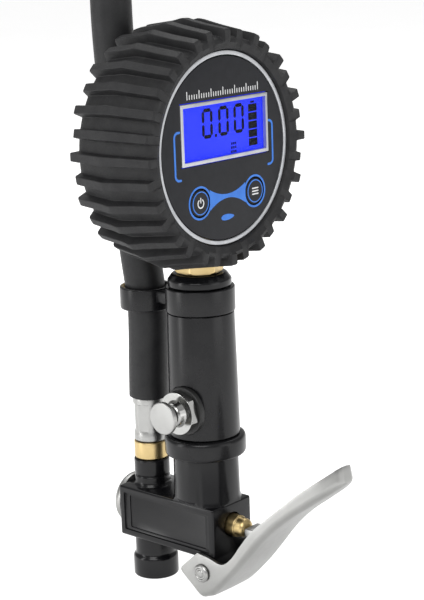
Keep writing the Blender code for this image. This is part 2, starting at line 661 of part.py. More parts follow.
def handle_parts():
    """Collar, tube, top cap and hose clip, on the handle's axis."""
    axis = axis_frame("handle_axis", (0, HANDLE_Y, 0))
    inner = SPIGOT_RADIUS + GAP
    soft = 1.2 * MM
    collar_outline = [
        (COLLAR_RADIUS - soft, COLLAR_TOP),
        (COLLAR_RADIUS, COLLAR_TOP - soft),
        (COLLAR_RADIUS, COLLAR_LOW + soft),
        (COLLAR_RADIUS - soft, COLLAR_LOW),
        (inner, COLLAR_LOW),
        (inner, COLLAR_TOP),
    ]
    turned("handle_collar", collar_outline, GRIP, parent=axis)

    tube_outline = [
        (HANDLE_HIGH_RADIUS, HANDLE_HIGH),
        (HANDLE_LOW_RADIUS, HANDLE_LOW),
        (HANDLE_INNER, HANDLE_LOW),
        (HANDLE_INNER, HANDLE_HIGH),
    ]
    handle = turned("handle_tube", tube_outline, GRIP, parent=axis)
    side_hole = prism_mesh(BLEED_SPIGOT_RADIUS + GAP, 0, 2 * HANDLE_LOW_RADIUS, 20)
    side_flat = prism_mesh(BLEED_WASHER_RADIUS + GAP, BLEED_WASHER_SEAT - GAP, 2 * HANDLE_LOW_RADIUS, 28)
    for name, mesh in (("bleed_hole", side_hole), ("bleed_flat", side_flat)):
        mesh.transform(
            Matrix.Translation((0, -BLEED_AHEAD, BLEED_Z)) @ Matrix.Rotation(-math.pi / 2, 4, "Y")
        )
        cut(handle, keep(name, mesh, parent=axis))

    cap_outline = [
        (CAP_CONE_RADIUS, CAP_TOP),
        (CAP_FLANGE_RADIUS, FLANGE_LOW + CAP_FLANGE_HEIGHT),
        (CAP_FLANGE_RADIUS, FLANGE_LOW),
        (CAP_SPIGOT_RADIUS, FLANGE_LOW),
        (CAP_SPIGOT_RADIUS, FLANGE_LOW - CAP_SPIGOT_LENGTH),
        (STEM_PIPE_RADIUS + RUN, FLANGE_LOW - CAP_SPIGOT_LENGTH),
        (STEM_PIPE_RADIUS + RUN, CAP_TOP),
    ]
    turned("handle_cap", cap_outline, CAST, parent=axis)

    band = ring_outline(HANDLE_INNER, BAND_RADIUS, BAND_LOW, BAND_LOW + BAND_HEIGHT)
    clip = turned("hose_clip", band, GRIP, parent=axis)
    ring_low = BAND_LOW - RING_DROP
    hose_x, hose_y = HOSE_ROUTE[CLIP_POINT][0] * MM, HOSE_ROUTE[CLIP_POINT][1] * MM - HANDLE_Y
    ring = prism_mesh(RING_RADIUS, ring_low, ring_low + RING_HEIGHT, 28, (hose_x, hose_y))
    web_back = hose_y - HOSE_RADIUS - CLIP_CLEARANCE
    web_front = (BAND_RADIUS + HANDLE_INNER) / 2
    web_low = max(BAND_LOW, ring_low) + 0.4 * MM
    web_high = min(BAND_LOW + BAND_HEIGHT, ring_low + RING_HEIGHT) - 0.4 * MM
    web = box_mesh(
        (7 * MM, web_back - web_front, web_high - web_low),
        (0, (web_back + web_front) / 2, (web_low + web_high) / 2),
    )
    joined(clip, keep("clip_ring", ring, parent=axis), keep("clip_web", web, parent=axis))
    low, high = ring_low - 1 * MM, ring_low + RING_HEIGHT + 1.4 * MM
    hose_way = prism_mesh(HOSE_RADIUS + CLIP_CLEARANCE, low, high, 28, (hose_x, hose_y))
    cut(clip, keep("clip_bore", hose_way, parent=axis))


def bleed_parts():
    """Bleed valve on the handle's side; local z points out of the handle."""
    line = axis_frame("bleed_line", (0, HANDLE_Y - BLEED_AHEAD, BLEED_Z), (0, -90, 0))
    seat = BLEED_WASHER_SEAT
    washer = ring_outline(BLEED_SPIGOT_RADIUS + GAP, BLEED_WASHER_RADIUS, seat, BLEED_WASHER_REACH)
    washer.insert(0, (BLEED_WASHER_RADIUS - 0.5 * MM, BLEED_WASHER_REACH))
    washer[1] = (BLEED_WASHER_RADIUS, BLEED_WASHER_REACH - 0.5 * MM)
    turned("bleed_washer", washer, SEAL, parent=line, steps=28)

    hex_low = BLEED_WASHER_REACH + GAP
    bore = BLEED_STEM_RADIUS + RUN
    pocket = 2.9 * MM
    pocket_floor = hex_low + 1.2 * MM
    nut_outline = [
        (BLEED_NECK_RADIUS, BLEED_NECK_REACH),
        (BLEED_NECK_RADIUS, hex_low + 0.5 * MM),
        (BLEED_SPIGOT_RADIUS, hex_low + 0.5 * MM),
        (BLEED_SPIGOT_RADIUS, HANDLE_INNER + 0.4 * MM),
        (bore, HANDLE_INNER + 0.4 * MM),
        (bore, pocket_floor),
        (pocket, pocket_floor),
        (pocket, BLEED_NECK_REACH),
    ]
    nut = turned("bleed_nut", nut_outline, CHROME, parent=line, steps=24)
    hexagon = prism_mesh(BLEED_HEX_RADIUS, hex_low, hex_low + BLEED_HEX_LENGTH, 6, turn=math.radians(12))
    way = prism_mesh(pocket + 0.5 * MM, hex_low - 1 * MM, hex_low + BLEED_HEX_LENGTH + 1 * MM, 24)
    cut(keep("bleed_hex", hexagon, parent=line), keep("bleed_hex_bore", way, parent=line))
    joined(nut, bpy.data.objects["bleed_hex"])

    top = BLEED_BUTTON_REACH
    under = top - BLEED_BUTTON_THICKNESS
    soft = 0.4 * MM
    inner_end = HANDLE_INNER - 1.6 * MM
    button_outline = [
        (0, top),
        (BLEED_BUTTON_RADIUS - soft, top),
        (BLEED_BUTTON_RADIUS, top - soft),
        (BLEED_BUTTON_RADIUS, under),
        (BLEED_STEM_RADIUS, under),
        (BLEED_STEM_RADIUS, HANDLE_INNER),
        (BLEED_STEM_RADIUS + 1.2 * MM, HANDLE_INNER - 0.2 * MM),
        (BLEED_STEM_RADIUS + 1.2 * MM, inner_end),
        (0, inner_end),
    ]
    turned("bleed_button", button_outline, CHROME, parent=line, steps=28)
    coil = coil_points(2.2 * MM, pocket_floor + 0.6 * MM, under - 0.6 * MM, 4)
    tube("bleed_spring", coil, 0.3 * MM, SPRING, rounds=1).parent = line


# Stem and gauge


def gauge_stem():
    """The brass stem from the handle's cap to the sensor, with the nut that locks the gauge on it."""
    axis = axis_frame("stem_axis", (0, HANDLE_Y, 0))
    hex_low = CAP_TOP + GAP
    hex_top = hex_low + STEM_HEX_LENGTH
    case_floor = GAUGE_Z - CASE_RADIUS + CASE_WALL
    nut_height = 3.4 * MM
    nut_low = case_floor + 1.3 * MM
    top = nut_low + nut_height + 0.8 * MM
    pipe_low = FLANGE_LOW - CAP_SPIGOT_LENGTH - 1.0 * MM
    pipe = ring_outline(AIR_RADIUS, STEM_PIPE_RADIUS, pipe_low, top)
    stem = turned("gauge_stem", pipe, BRASS, parent=axis, steps=24)
    hexagon = prism_mesh(STEM_HEX_RADIUS, hex_low, hex_top, 6, turn=math.radians(20))
    way = prism_mesh(STEM_PIPE_RADIUS - 0.6 * MM, hex_low - 1 * MM, hex_top + 1 * MM, 24)
    cut(keep("stem_hex", hexagon, parent=axis), keep("stem_hex_bore", way, parent=axis))
    joined(stem, bpy.data.objects["stem_hex"])

    nut = keep("stem_lock_nut", prism_mesh(7.2 * MM, nut_low, nut_low + nut_height, 6), BRASS, parent=axis)
    nut_way = prism_mesh(STEM_PIPE_RADIUS + RUN, nut_low - 1 * MM, nut_low + nut_height + 1 * MM, 24)
    cut(nut, keep("lock_nut_bore", nut_way, parent=axis))
    sensor = [
        (0, top + GAP + SENSOR_HEIGHT),
        (SENSOR_RADIUS - 1 * MM, top + GAP + SENSOR_HEIGHT),
        (SENSOR_RADIUS - 1 * MM, top + GAP + 1.6 * MM),
        (SENSOR_RADIUS, top + GAP + 1.6 * MM),
        (SENSOR_RADIUS, top + GAP),
        (0, top + GAP),
    ]
    turned("pressure_sensor", sensor, SILVER, parent=axis, steps=SMALL_STEPS)


def screen_cutter(name, size, low, high, parent):
    x, y = SCREEN_CENTRE
    return keep(name, box_mesh((*size, high - low), (x, y, (low + high) / 2)), parent=parent)


def boot_rib(shorter):
    """One rib of the boot, pointing up from the gauge's axis: a bar that follows the crowned body."""
    inner = CASE_RADIUS + GAP + 0.3 * MM
    front, back = BOOT_FRONT + 0.6 * MM - shorter, BOOT_BACK - 0.8 * MM + shorter
    stations = (
        (front, BOOT_FRONT_RADIUS + RIB_HEIGHT - 0.5 * MM),
        (BOOT_CREST, BOOT_CREST_RADIUS + RIB_HEIGHT),
        (back, BOOT_BACK_RADIUS + RIB_HEIGHT - 0.3 * MM),
    )
    bm = bmesh.new()
    rows = [
        [
            bm.verts.new((side * half, radius, ahead))
            for side, half, radius in (
                (-1, RIB_WIDTH / 2, inner),
                (1, RIB_WIDTH / 2, inner),
                (1, RIB_WIDTH / 2 - 0.35 * MM, outer),
                (-1, RIB_WIDTH / 2 - 0.35 * MM, outer),
            )
        ]
        for ahead, outer in stations
    ]
    for one, two in zip(rows, rows[1:]):
        for k in range(4):
            bm.faces.new((one[k], one[(k + 1) % 4], two[(k + 1) % 4], two[k]))
    bm.faces.new(rows[0])
    bm.faces.new(rows[-1])
    return mesh_of(bm)


def gauge_boot(head):
    body = [
        (RING_OUTER + GAP, FACE_AHEAD + 0.3 * MM),
        (BOOT_FRONT_RADIUS - 1.4 * MM, BOOT_FRONT),
        (BOOT_FRONT_RADIUS, BOOT_FRONT - 0.9 * MM),
        (BOOT_CREST_RADIUS, BOOT_CREST),
        (BOOT_BACK_RADIUS, BOOT_BACK + 1.0 * MM),
        (BOOT_BACK_RADIUS - 1.4 * MM, BOOT_BACK),
        (BOOT_OPENING, BOOT_BACK),
        (BOOT_OPENING, CASE_BACK - GAP),
        (CASE_RADIUS + GAP, CASE_BACK - GAP),
        (CASE_RADIUS + GAP, FACE_AHEAD - 0.9 * MM),
        (RING_OUTER + GAP, FACE_AHEAD - 0.9 * MM),
    ]
    boot = turned("gauge_boot", body, RUBBER, parent=head, steps=FINE_STEPS)
    ribs = bmesh.new()
    for k in range(RIBS):
        shape = boot_rib(RIB_STEP if k % 2 else 0.0)
        shape.transform(Matrix.Rotation(2 * math.pi * k / RIBS, 4, "Z"))
        ribs.from_mesh(shape)
    stem_way = prism_mesh(STEM_HEX_RADIUS + 0.8 * MM, -60 * MM, -20 * MM, 24)
    stem_way.transform(Matrix.Rotation(-math.pi / 2, 4, "X"))
    joined(boot, keep("ribs", mesh_of(ribs), parent=head))
    cut(boot, keep("boot_stem_way", stem_way, parent=head))


def gauge_shell(head):
    """Case, door and face of the gauge."""
    inner = CASE_RADIUS - CASE_WALL
    rim = FACE_AHEAD - 1.2 * MM
    cup = [
        (CASE_RADIUS, rim),
        (CASE_RADIUS, CASE_BACK),
        (0, CASE_BACK),
        (0, CASE_BACK + CASE_WALL),
        (inner, CASE_BACK + CASE_WALL),
        (inner, rim),
    ]
    case = turned_cup("gauge_case", cup, CASE, head)
    stem_way = prism_mesh(STEM_PIPE_RADIUS + GAP, -60 * MM, -20 * MM, 24)
    stem_way.transform(Matrix.Rotation(-math.pi / 2, 4, "X"))
    door_way = box_mesh(
        (DOOR_SIZE[0] - 4 * MM, DOOR_SIZE[1] - 4 * MM, 10 * MM), (0, 0, CASE_BACK)
    )
    door_seat = box_mesh(
        (DOOR_SIZE[0] + 2 * GAP, DOOR_SIZE[1] + 2 * GAP, 2 * MM), (0, 0, CASE_BACK)
    )
    for name, mesh in (("case_stem_way", stem_way), ("door_way", door_way), ("door_seat", door_seat)):
        cut(case, keep(name, mesh, parent=head))
    door = box_mesh((*DOOR_SIZE, 1.2 * MM), (0, 0, CASE_BACK + 0.1 * MM))
    bevelled(keep("battery_door", door, CASE, parent=head), 0.3 * MM, 1)

    ring = ring_outline(RING_INNER, RING_OUTER, FACE_AHEAD - 0.8 * MM, FACE_AHEAD)
    turned("bezel_ring", ring, SILVER, parent=head, steps=FINE_STEPS)
    low, high = FACE_AHEAD - 1.2 * MM, FACE_AHEAD - 0.2 * MM
    face = rod_outline(RING_INNER - GAP, low, high)
    panel = turned("face_panel", face, PANEL, parent=head, steps=FINE_STEPS)
    hole = [side + 2 * GAP for side in FRAME_SIZE]
    cut(panel, screen_cutter("window", hole, low - 1 * MM, high + 1 * MM, head))
    for name, place in BUTTON_PLACES.items():
        way = prism_mesh(BUTTON_RADIUS + GAP, low - 1 * MM, high + 1 * MM, 24, place)
        cut(panel, keep(f"{name}_way", way, parent=head))


def turned_cup(name, outline, finish, parent):
    """A cup's outline starts at its rim and returns to it, crossing the axis in the floor."""
    mesh = bpy.data.meshes.new("profile")
    points = [(radius, 0, height) for radius, height in outline]
    edges = [(i, i + 1) for i in range(len(points) - 1) if outline[i][0] + outline[i + 1][0] > 0]
    edges.append((len(points) - 1, 0))
    mesh.from_pydata(points, edges, [])
    obj = keep(name, mesh, finish, parent=parent)
    screw = obj.modifiers.new("turn", "SCREW")
    screw.steps = screw.render_steps = FINE_STEPS
    screw.use_merge_vertices = True
    screw.merge_threshold = 1e-6
    return obj


def gauge_screen(head):
    """Frame, lens and display in the panel's window."""
    x, y = SCREEN_CENTRE
    low, high = FACE_AHEAD - 1.2 * MM, FACE_AHEAD
    centre = (x, y, (low + high) / 2)
    frame = keep("screen_frame", box_mesh((*FRAME_SIZE, high - low), centre), SILVER, parent=head)
    opening = [side - 2 * FRAME_EDGE for side in FRAME_SIZE]
    cut(frame, screen_cutter("frame_opening", opening, low - 1 * MM, high + 1 * MM, head))
    lens_size = [side - 2 * GAP for side in opening]
    lens_centre = (x, y, FACE_AHEAD - 0.7 * MM)
    keep("screen_lens", box_mesh((*lens_size, 0.8 * MM), lens_centre), CLEAR, parent=head)
    display_top = low - GAP
    display = (x, y, display_top - SCREEN_THICKNESS / 2)
    size = (FRAME_SIZE[0] + 2 * MM, FRAME_SIZE[1] + 2.6 * MM, SCREEN_THICKNESS)
    keep("display", box_mesh(size, display), SCREEN, parent=head)
    return display_top - SCREEN_THICKNESS


def gauge_inside(head, display_back):
    """Circuit board, switches, push buttons and batteries."""
    board_top = display_back - GAP
    board = prism_mesh(CASE_RADIUS - CASE_WALL - 1.2 * MM, board_top - BOARD_THICKNESS, board_top, 40)
    board_part = keep("circuit_board", board, BOARD, parent=head)
    foot = box_mesh((80 * MM, 20 * MM, 8 * MM), (0, -31 * MM, board_top))
    cut(board_part, keep("board_foot", foot, parent=head))
    top = FACE_AHEAD + 0.1 * MM
    button_low = top - 2.0 * MM
    switch_top = button_low - BUTTON_TRAVEL - 0.25 * MM
    for name, (x, y) in BUTTON_PLACES.items():
        soft = 0.3 * MM
        outline = [
            (0, top),
            (BUTTON_RADIUS - soft, top),
            (BUTTON_RADIUS, top - soft),
            (BUTTON_RADIUS, button_low),
            (0, button_low),
        ]
        turned(f"{name}_button", outline, PANEL, (x, y, 0), head, 24)
        low = board_top + GAP
        switch = box_mesh((4.5 * MM, 4.5 * MM, switch_top - low), (x, y, (switch_top + low) / 2))
        keep(f"{name}_switch", switch, SILVER, parent=head)
    depth = (CASE_BACK + CASE_WALL + board_top - BOARD_THICKNESS) / 2 - 1.0 * MM
    for k, side in enumerate((1, -1)):
        cell = prism_mesh(BATTERY_RADIUS, -BATTERY_LENGTH / 2, BATTERY_LENGTH / 2, 20)
        cell.transform(
            Matrix.Translation((0, side * BATTERY_SPACING / 2 + 1.5 * MM, depth))
            @ Matrix.Rotation(math.pi / 2, 4, "Y")
        )
        keep(f"battery_{k + 1}", cell, CELL, parent=head)


def gauge():
    head = axis_frame("gauge_head", (0, HANDLE_Y, GAUGE_Z), (90, 0, 0))
    gauge_boot(head)
    gauge_shell(head)
    gauge_inside(head, gauge_screen(head))


# Hose


def hose_parts():
    """The brass fitting and ferrule, the hose, and the chuck on its free end."""
    fitting_low = BOSS_TOP + GAP
    barb_top = FITTING_TOP + 12 * MM
    fitting = [
        (BARB_RADIUS, barb_top),
        (BARB_RADIUS, FITTING_TOP),
        (FITTING_RADIUS, FITTING_TOP),
        (FITTING_RADIUS, fitting_low),
        (FITTING_HOLE_RADIUS - RUN, fitting_low),
        (FITTING_HOLE_RADIUS - RUN, BOSS_TOP - 6 * MM),
        (AIR_RADIUS, BOSS_TOP - 6 * MM),
        (AIR_RADIUS, barb_top),
    ]
    turned("hose_fitting", fitting, BRASS, steps=24)
    ferrule_low = FITTING_TOP + GAP
    ferrule_top = ferrule_low + FERRULE_HEIGHT
    ferrule = ring_outline(BARB_RADIUS + GAP, FERRULE_RADIUS, ferrule_low, ferrule_top)
    turned("hose_ferrule", ferrule, CHROME, steps=24)

    route = [Vector(point) * MM for point in HOSE_ROUTE]
    tube("hose", smooth_points(route, HOSE_POINTS), HOSE_RADIUS, HOSE, rounds=2)

    end = route[-1]
    free_end = axis_frame("hose_free_end", (end.x, end.y, end.z - GAP), (180, 0, 0))
    ferrule = [
        (0, 10 * MM),
        (CHUCK_RADIUS, 10 * MM),
        (CHUCK_RADIUS, 0.5 * MM),
        (CHUCK_RADIUS - 0.5 * MM, 0),
        (0, 0),
    ]
    turned("chuck_ferrule", ferrule, CHROME, parent=free_end, steps=24)
    base = 10 * MM + GAP
    shoulder = base + CHUCK_LENGTH
    nose = shoulder + CHUCK_HEAD_LENGTH
    chuck = [
        (CHUCK_HEAD_RADIUS - 0.6 * MM, nose),
        (CHUCK_HEAD_RADIUS, nose - 0.6 * MM),
        (CHUCK_HEAD_RADIUS, shoulder),
        (CHUCK_RADIUS - 1.4 * MM, shoulder - 2.4 * MM),
        (CHUCK_RADIUS - 1.4 * MM, base + 5 * MM),
        (CHUCK_RADIUS, base + 4.6 * MM),
        (CHUCK_RADIUS, base),
        (AIR_RADIUS, base),
        (AIR_RADIUS, nose - CHUCK_BORE_DEPTH),
        (CHUCK_BORE_RADIUS, nose - CHUCK_BORE_DEPTH),
        (CHUCK_BORE_RADIUS, nose),
    ]
    turned("air_chuck", chuck, BRASS, parent=free_end, steps=24)
    seal_low = nose - CHUCK_BORE_DEPTH + GAP
    seal = ring_outline(AIR_RADIUS, CHUCK_BORE_RADIUS - GAP, seal_low, seal_low + 2.5 * MM)
    turned("chuck_seal", seal, SEAL, parent=free_end, steps=SMALL_STEPS)


def main():
    clear_scene()
    valve_body()
    valve_parts()
    lever_parts()
    handle_parts()
    bleed_parts()
    gauge_stem()
    gauge()
    hose_parts()


main()
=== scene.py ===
"""Looks for the hand-held tyre inflator: fine pieces, materials, light and camera on the CAD frame.

Directions are the CAD's: +Z up the handle, -Y ahead of the gauge and -X the bleed valve's side.
Lengths in the outlines and tables are in millimetres, and the camera's and lights' are in metres.
"""

import math

import bmesh
import bpy
from mathutils import Matrix, Vector


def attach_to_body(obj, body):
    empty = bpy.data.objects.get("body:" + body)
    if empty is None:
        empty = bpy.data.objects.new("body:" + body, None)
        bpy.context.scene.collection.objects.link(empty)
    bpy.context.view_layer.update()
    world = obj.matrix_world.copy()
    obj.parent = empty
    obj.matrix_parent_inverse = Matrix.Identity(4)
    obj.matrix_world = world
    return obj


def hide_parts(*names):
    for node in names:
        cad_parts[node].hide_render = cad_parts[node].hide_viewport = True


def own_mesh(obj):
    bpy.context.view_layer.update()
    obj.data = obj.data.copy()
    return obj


MM = 0.001
TAU = 2 * math.pi
TINY = 1e-6

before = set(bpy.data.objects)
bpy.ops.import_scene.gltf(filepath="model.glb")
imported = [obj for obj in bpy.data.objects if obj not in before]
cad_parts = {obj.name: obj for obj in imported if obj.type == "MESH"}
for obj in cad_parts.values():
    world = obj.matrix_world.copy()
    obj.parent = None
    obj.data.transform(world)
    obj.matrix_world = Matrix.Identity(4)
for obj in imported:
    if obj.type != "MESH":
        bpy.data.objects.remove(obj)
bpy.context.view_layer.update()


# Camera

AZIMUTH = math.radians(48.12)
ELEVATION = math.radians(13.28)
ROLL = math.radians(-1.97)
CAMERA_PLACE = (-0.38593, -0.37646, 0.22418)
FOCAL_LENGTH = 65.48
SENSOR_HEIGHT = 24


def add_camera():
    """A camera ahead of the gauge, on the bleed valve's side and a little above the gauge."""
    forward = Vector(
        (
            math.sin(AZIMUTH) * math.cos(ELEVATION),
            math.cos(AZIMUTH) * math.cos(ELEVATION),
            -math.sin(ELEVATION),
        )
    )
    level = Vector((math.cos(AZIMUTH), -math.sin(AZIMUTH), 0))
    above = level.cross(forward)
    right = math.cos(ROLL) * level + math.sin(ROLL) * above
    up = math.cos(ROLL) * above - math.sin(ROLL) * level
    data = bpy.data.cameras.new("camera")
    data.sensor_fit = "VERTICAL"
    data.sensor_height = SENSOR_HEIGHT
    data.lens = FOCAL_LENGTH
    camera = bpy.data.objects.new("camera", data)
    turn = Matrix((right, up, -forward)).transposed().to_4x4()
    camera.matrix_world = Matrix.Translation(CAMERA_PLACE) @ turn
    bpy.context.scene.collection.objects.link(camera)
    bpy.context.scene.camera = camera


add_camera()


# Frames of reference


def at(x, y, z):
    """A frame of reference at a place in mm."""
    return Matrix.Translation(Vector((x, y, z)) * MM)


HANDLE_Y = -25.3
HEAD_HEIGHT = 152
BLEED_AHEAD, BLEED_HEIGHT = 2, 66.6
VALVE_HEIGHT = 25.7
PIVOT_AHEAD, PIVOT_HEIGHT = 6.5, 10.9

# A frame's Z is the axis of what is turned in it. These two bring it to +X and to -Y.
CROSSWISE = Matrix.Rotation(math.pi / 2, 4, "Y")
FORWARD = Matrix.Rotation(math.pi / 2, 4, "X")
PORT = at(0, 0, 0)
HANDLE = at(0, HANDLE_Y, 0)
HEAD = at(0, HANDLE_Y, HEAD_HEIGHT) @ FORWARD
BLEED = at(0, HANDLE_Y - BLEED_AHEAD, BLEED_HEIGHT) @ Matrix.Rotation(-math.pi / 2, 4, "Y")
VALVE = at(0, 0, VALVE_HEIGHT) @ FORWARD
PIVOT = at(0, HANDLE_Y - PIVOT_AHEAD, PIVOT_HEIGHT)


# Materials

CLOUD_RATIO = 9  # grains across one cloud of the colour
TINT_ENDS = (0.32, 0.68)  # noise at the dark and at the light end of the colour
ROUGH_ENDS = (0.3, 0.7)  # noise at the two ends of the roughness
RELIEF = 0.1 * MM


def add_node(tree, kind, **values):
    """A new node with those input sockets or settings."""
    made = tree.nodes.new(kind)
    for name, value in values.items():
        if name in made.inputs:
            made.inputs[name].default_value = value
        else:
            setattr(made, name, value)
    return made


def map_range(tree, value, source, target):
    """The output of a node that maps a value from one pair of numbers to another."""
    made = add_node(tree, "ShaderNodeMapRange")
    for socket, number in zip(("From Min", "From Max", "To Min", "To Max"), (*source, *target)):
        made.inputs[socket].default_value = number
    tree.links.new(value, made.inputs["Value"])
    return made.outputs["Result"]


def finish(
    name,
    dark,
    light,
    rough,
    metallic=0.0,
    grain=900,
    bump=0.15,
    stretch=(1, 1, 1),
    **sockets,
):
    """A Principled material whose colour and roughness wander, with a fine bump.

    dark and light are the two ends of its colour, rough is a pair of roughness values, grain is the
    number of bumps in a metre, and stretch scales the grain along x, y and z.
    """
    made = bpy.data.materials.new(name)
    made.use_nodes = True
    tree = made.node_tree
    shader = tree.nodes["Principled BSDF"]
    shader.inputs["Metallic"].default_value = metallic
    for socket, value in sockets.items():
        shader.inputs[socket.replace("_", " ")].default_value = value
    place = add_node(tree, "ShaderNodeTexCoord")
    scale = add_node(tree, "ShaderNodeMapping", Scale=stretch)
    tree.links.new(place.outputs["Object"], scale.inputs["Vector"])
    coarse = grain / CLOUD_RATIO
    cloud = add_node(tree, "ShaderNodeTexNoise", Scale=coarse, Detail=5.0, Roughness=0.6)
    fine = add_node(tree, "ShaderNodeTexNoise", Scale=grain, Detail=3.0, Roughness=0.55)
    for texture in (cloud, fine):
        tree.links.new(scale.outputs["Vector"], texture.inputs["Vector"])
    tint = add_node(tree, "ShaderNodeValToRGB")
    for stop, position, colour in zip(tint.color_ramp.elements, TINT_ENDS, (dark, light)):
        stop.position = position
        stop.color = (*colour, 1)
    tree.links.new(cloud.outputs["Fac"], tint.inputs["Fac"])
    tree.links.new(tint.outputs["Color"], shader.inputs["Base Color"])
    spread = map_range(tree, fine.outputs["Fac"], ROUGH_ENDS, rough)
    tree.links.new(spread, shader.inputs["Roughness"])
    if bump:
        relief = add_node(tree, "ShaderNodeBump", Strength=bump, Distance=RELIEF)
        tree.links.new(fine.outputs["Fac"], relief.inputs["Height"])
        tree.links.new(relief.outputs["Normal"], shader.inputs["Normal"])
    return made


CAST = finish(
    "black_enamel",
    (0.004, 0.004, 0.005),
    (0.009, 0.009, 0.01),
    (0.16, 0.21),
    grain=700,
    bump=0.015,
    Specular_IOR_Level=0.3,
)
GRIP = finish(
    "black_handle",
    (0.006, 0.006, 0.007),
    (0.011, 0.011, 0.012),
    (0.22, 0.27),
    grain=1100,
    bump=0.01,
    Specular_IOR_Level=0.3,
)
RUBBER = finish(
    "boot_rubber",
    (0.011, 0.011, 0.012),
    (0.021, 0.021, 0.022),
    (0.5, 0.68),
    grain=2200,
    bump=0.3,
    Specular_IOR_Level=0.35,
)
HOSE = finish(
    "hose_rubber",
    (0.009, 0.009, 0.01),
    (0.016, 0.016, 0.017),
    (0.42, 0.6),
    grain=1600,
    bump=0.25,
    Specular_IOR_Level=0.35,
)
CHROME = finish(
    "satin_chrome", (0.37, 0.37, 0.36), (0.44, 0.44, 0.43), (0.3, 0.36), 1.0, 500, 0.02
)
BRIGHT = finish(
    "bright_chrome", (0.4, 0.4, 0.39), (0.47, 0.47, 0.46), (0.12, 0.18), 1.0, 600, 0.01
)
BRASS = finish(
    "turned_brass", (0.56, 0.42, 0.19), (0.64, 0.49, 0.25), (0.3, 0.36), 1.0, 900, 0.01
)
SILVER = finish(
    "silver_trim", (0.44, 0.45, 0.47), (0.55, 0.56, 0.58), (0.28, 0.4), 0.7, 1500, 0.05
)
PANEL = finish(
    "face_print",
    (0.006, 0.0065, 0.009),
    (0.01, 0.0105, 0.014),
    (0.3, 0.42),
    grain=2600,
    bump=0.1,
    Specular_IOR_Level=0.25,
)
CASE = finish(
    "case_plastic", (0.012, 0.012, 0.013), (0.02, 0.02, 0.021), (0.4, 0.55), grain=1800, bump=0.2
)
BUTTON = finish(
    "button_rubber",
    (0.008, 0.0085, 0.012),
    (0.013, 0.0135, 0.018),
    (0.4, 0.5),
    grain=2400,
    bump=0.12,
    Specular_IOR_Level=0.25,
)
BLUE_INK = finish(
    "blue_ink", (0.02, 0.16, 0.62), (0.03, 0.2, 0.72), (0.35, 0.45), grain=2500, bump=0.04
)
WHITE_INK = finish(
    "white_ink", (0.68, 0.69, 0.7), (0.8, 0.8, 0.8), (0.4, 0.5), grain=2500, bump=0.04
)
SEGMENT = finish(
    "screen_segment",
    (0, 0, 0.002),
    (0.001, 0.001, 0.004),
    (0.7, 0.8),
    grain=2500,
    bump=0,
    Specular_IOR_Level=0.05,
)
SCREEN = finish(
    "screen_glow",
    (0.012, 0.02, 0.5),
    (0.016, 0.026, 0.58),
    (0.5, 0.6),
    grain=400,
    bump=0,
    Specular_IOR_Level=0.1,
    Emission_Color=(0.012, 0.035, 1.0, 1),
    Emission_Strength=0.62,
)
LENS = finish(
    "screen_lens", (0.9, 0.92, 1.0), (1, 1, 1), (0.03, 0.07), grain=300, bump=0, Alpha=0.008
)
BOARD = finish(
    "board_green", (0.01, 0.1, 0.03), (0.03, 0.2, 0.07), (0.4, 0.6), grain=900, bump=0.3
)
JACKET = finish(
    "cell_jacket",
    (0.12, 0.13, 0.15),
    (0.3, 0.31, 0.33),
    (0.3, 0.45),
    metallic=0.4,
    grain=300,
    bump=0.05,
    stretch=(0.2, 1, 1),
)
STEEL = finish(
    "spring_steel", (0.42, 0.42, 0.43), (0.6, 0.6, 0.61), (0.22, 0.36), 1.0, 1400, 0.1
)
SEAL = finish(
    "seal_rubber",
    (0.008, 0.008, 0.008),
    (0.016, 0.016, 0.016),
    (0.4, 0.6),
    grain=1500,
    bump=0.2,
)


# Building

SMOOTH_ANGLE = 38  # the largest turn, in degrees, that is shaded smooth across an edge
CUT_ANGLE = 30  # the same after a cut
INK_ANGLE = 60  # the same for print


def linked(name, data):
    obj = bpy.data.objects.new(name, data)
    bpy.context.scene.collection.objects.link(obj)
    return obj


def attach(obj, body, nodes):
    """Puts an object on a body, in place of some CAD nodes."""
    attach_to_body(obj, body)
    if nodes:
        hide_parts(*nodes)


def piece(name, mesh, material, body, nodes=(), sharp=SMOOTH_ANGLE):
    """The mesh, whose points are in the CAD's frame, as a piece that rides on a body."""
    mesh.materials.append(material)
    mesh.shade_smooth()
    mesh.set_sharp_from_angle(angle=math.radians(sharp))
    obj = linked(name, mesh)
    attach(obj, body, nodes)
    return obj


def baked(obj):
    """The object's shape, with its modifiers or its thickness, as a new mesh."""
    bpy.context.view_layer.update()
    return bpy.data.meshes.new_from_object(
        obj.evaluated_get(bpy.context.evaluated_depsgraph_get())
    )


def mesh_of(bm, frame_of=PORT):
    """What was modelled in a frame of reference, as a mesh in the CAD's frame."""
    bmesh.ops.recalc_face_normals(bm, faces=bm.faces)
    mesh = bpy.data.meshes.new("shape")
    bm.to_mesh(mesh)
    bm.free()
    mesh.transform(frame_of)
    return mesh


def add_modifier(obj, kind, **settings):
    modifier = obj.modifiers.new(kind.lower(), kind)
    for name, value in settings.items():
        setattr(modifier, name, value)


LARGEST_SHARE = 0.45  # of a side that one of its rounded corners may use


def arc_corner(before, corner, after, radius, segments=4):
    """Points round a corner of a profile, on an arc of about that radius."""
    one, two = before - corner, after - corner
    reach = min(radius, LARGEST_SHARE * one.length, LARGEST_SHARE * two.length)
    if reach <= 0:
        return [corner]
    start, end = corner + one.normalized() * reach, corner + two.normalized() * reach
    found = []
    for k in range(segments + 1):
        t = k / segments
        found.append((1 - t) ** 2 * start + 2 * t * (1 - t) * corner + t**2 * end)
    return found


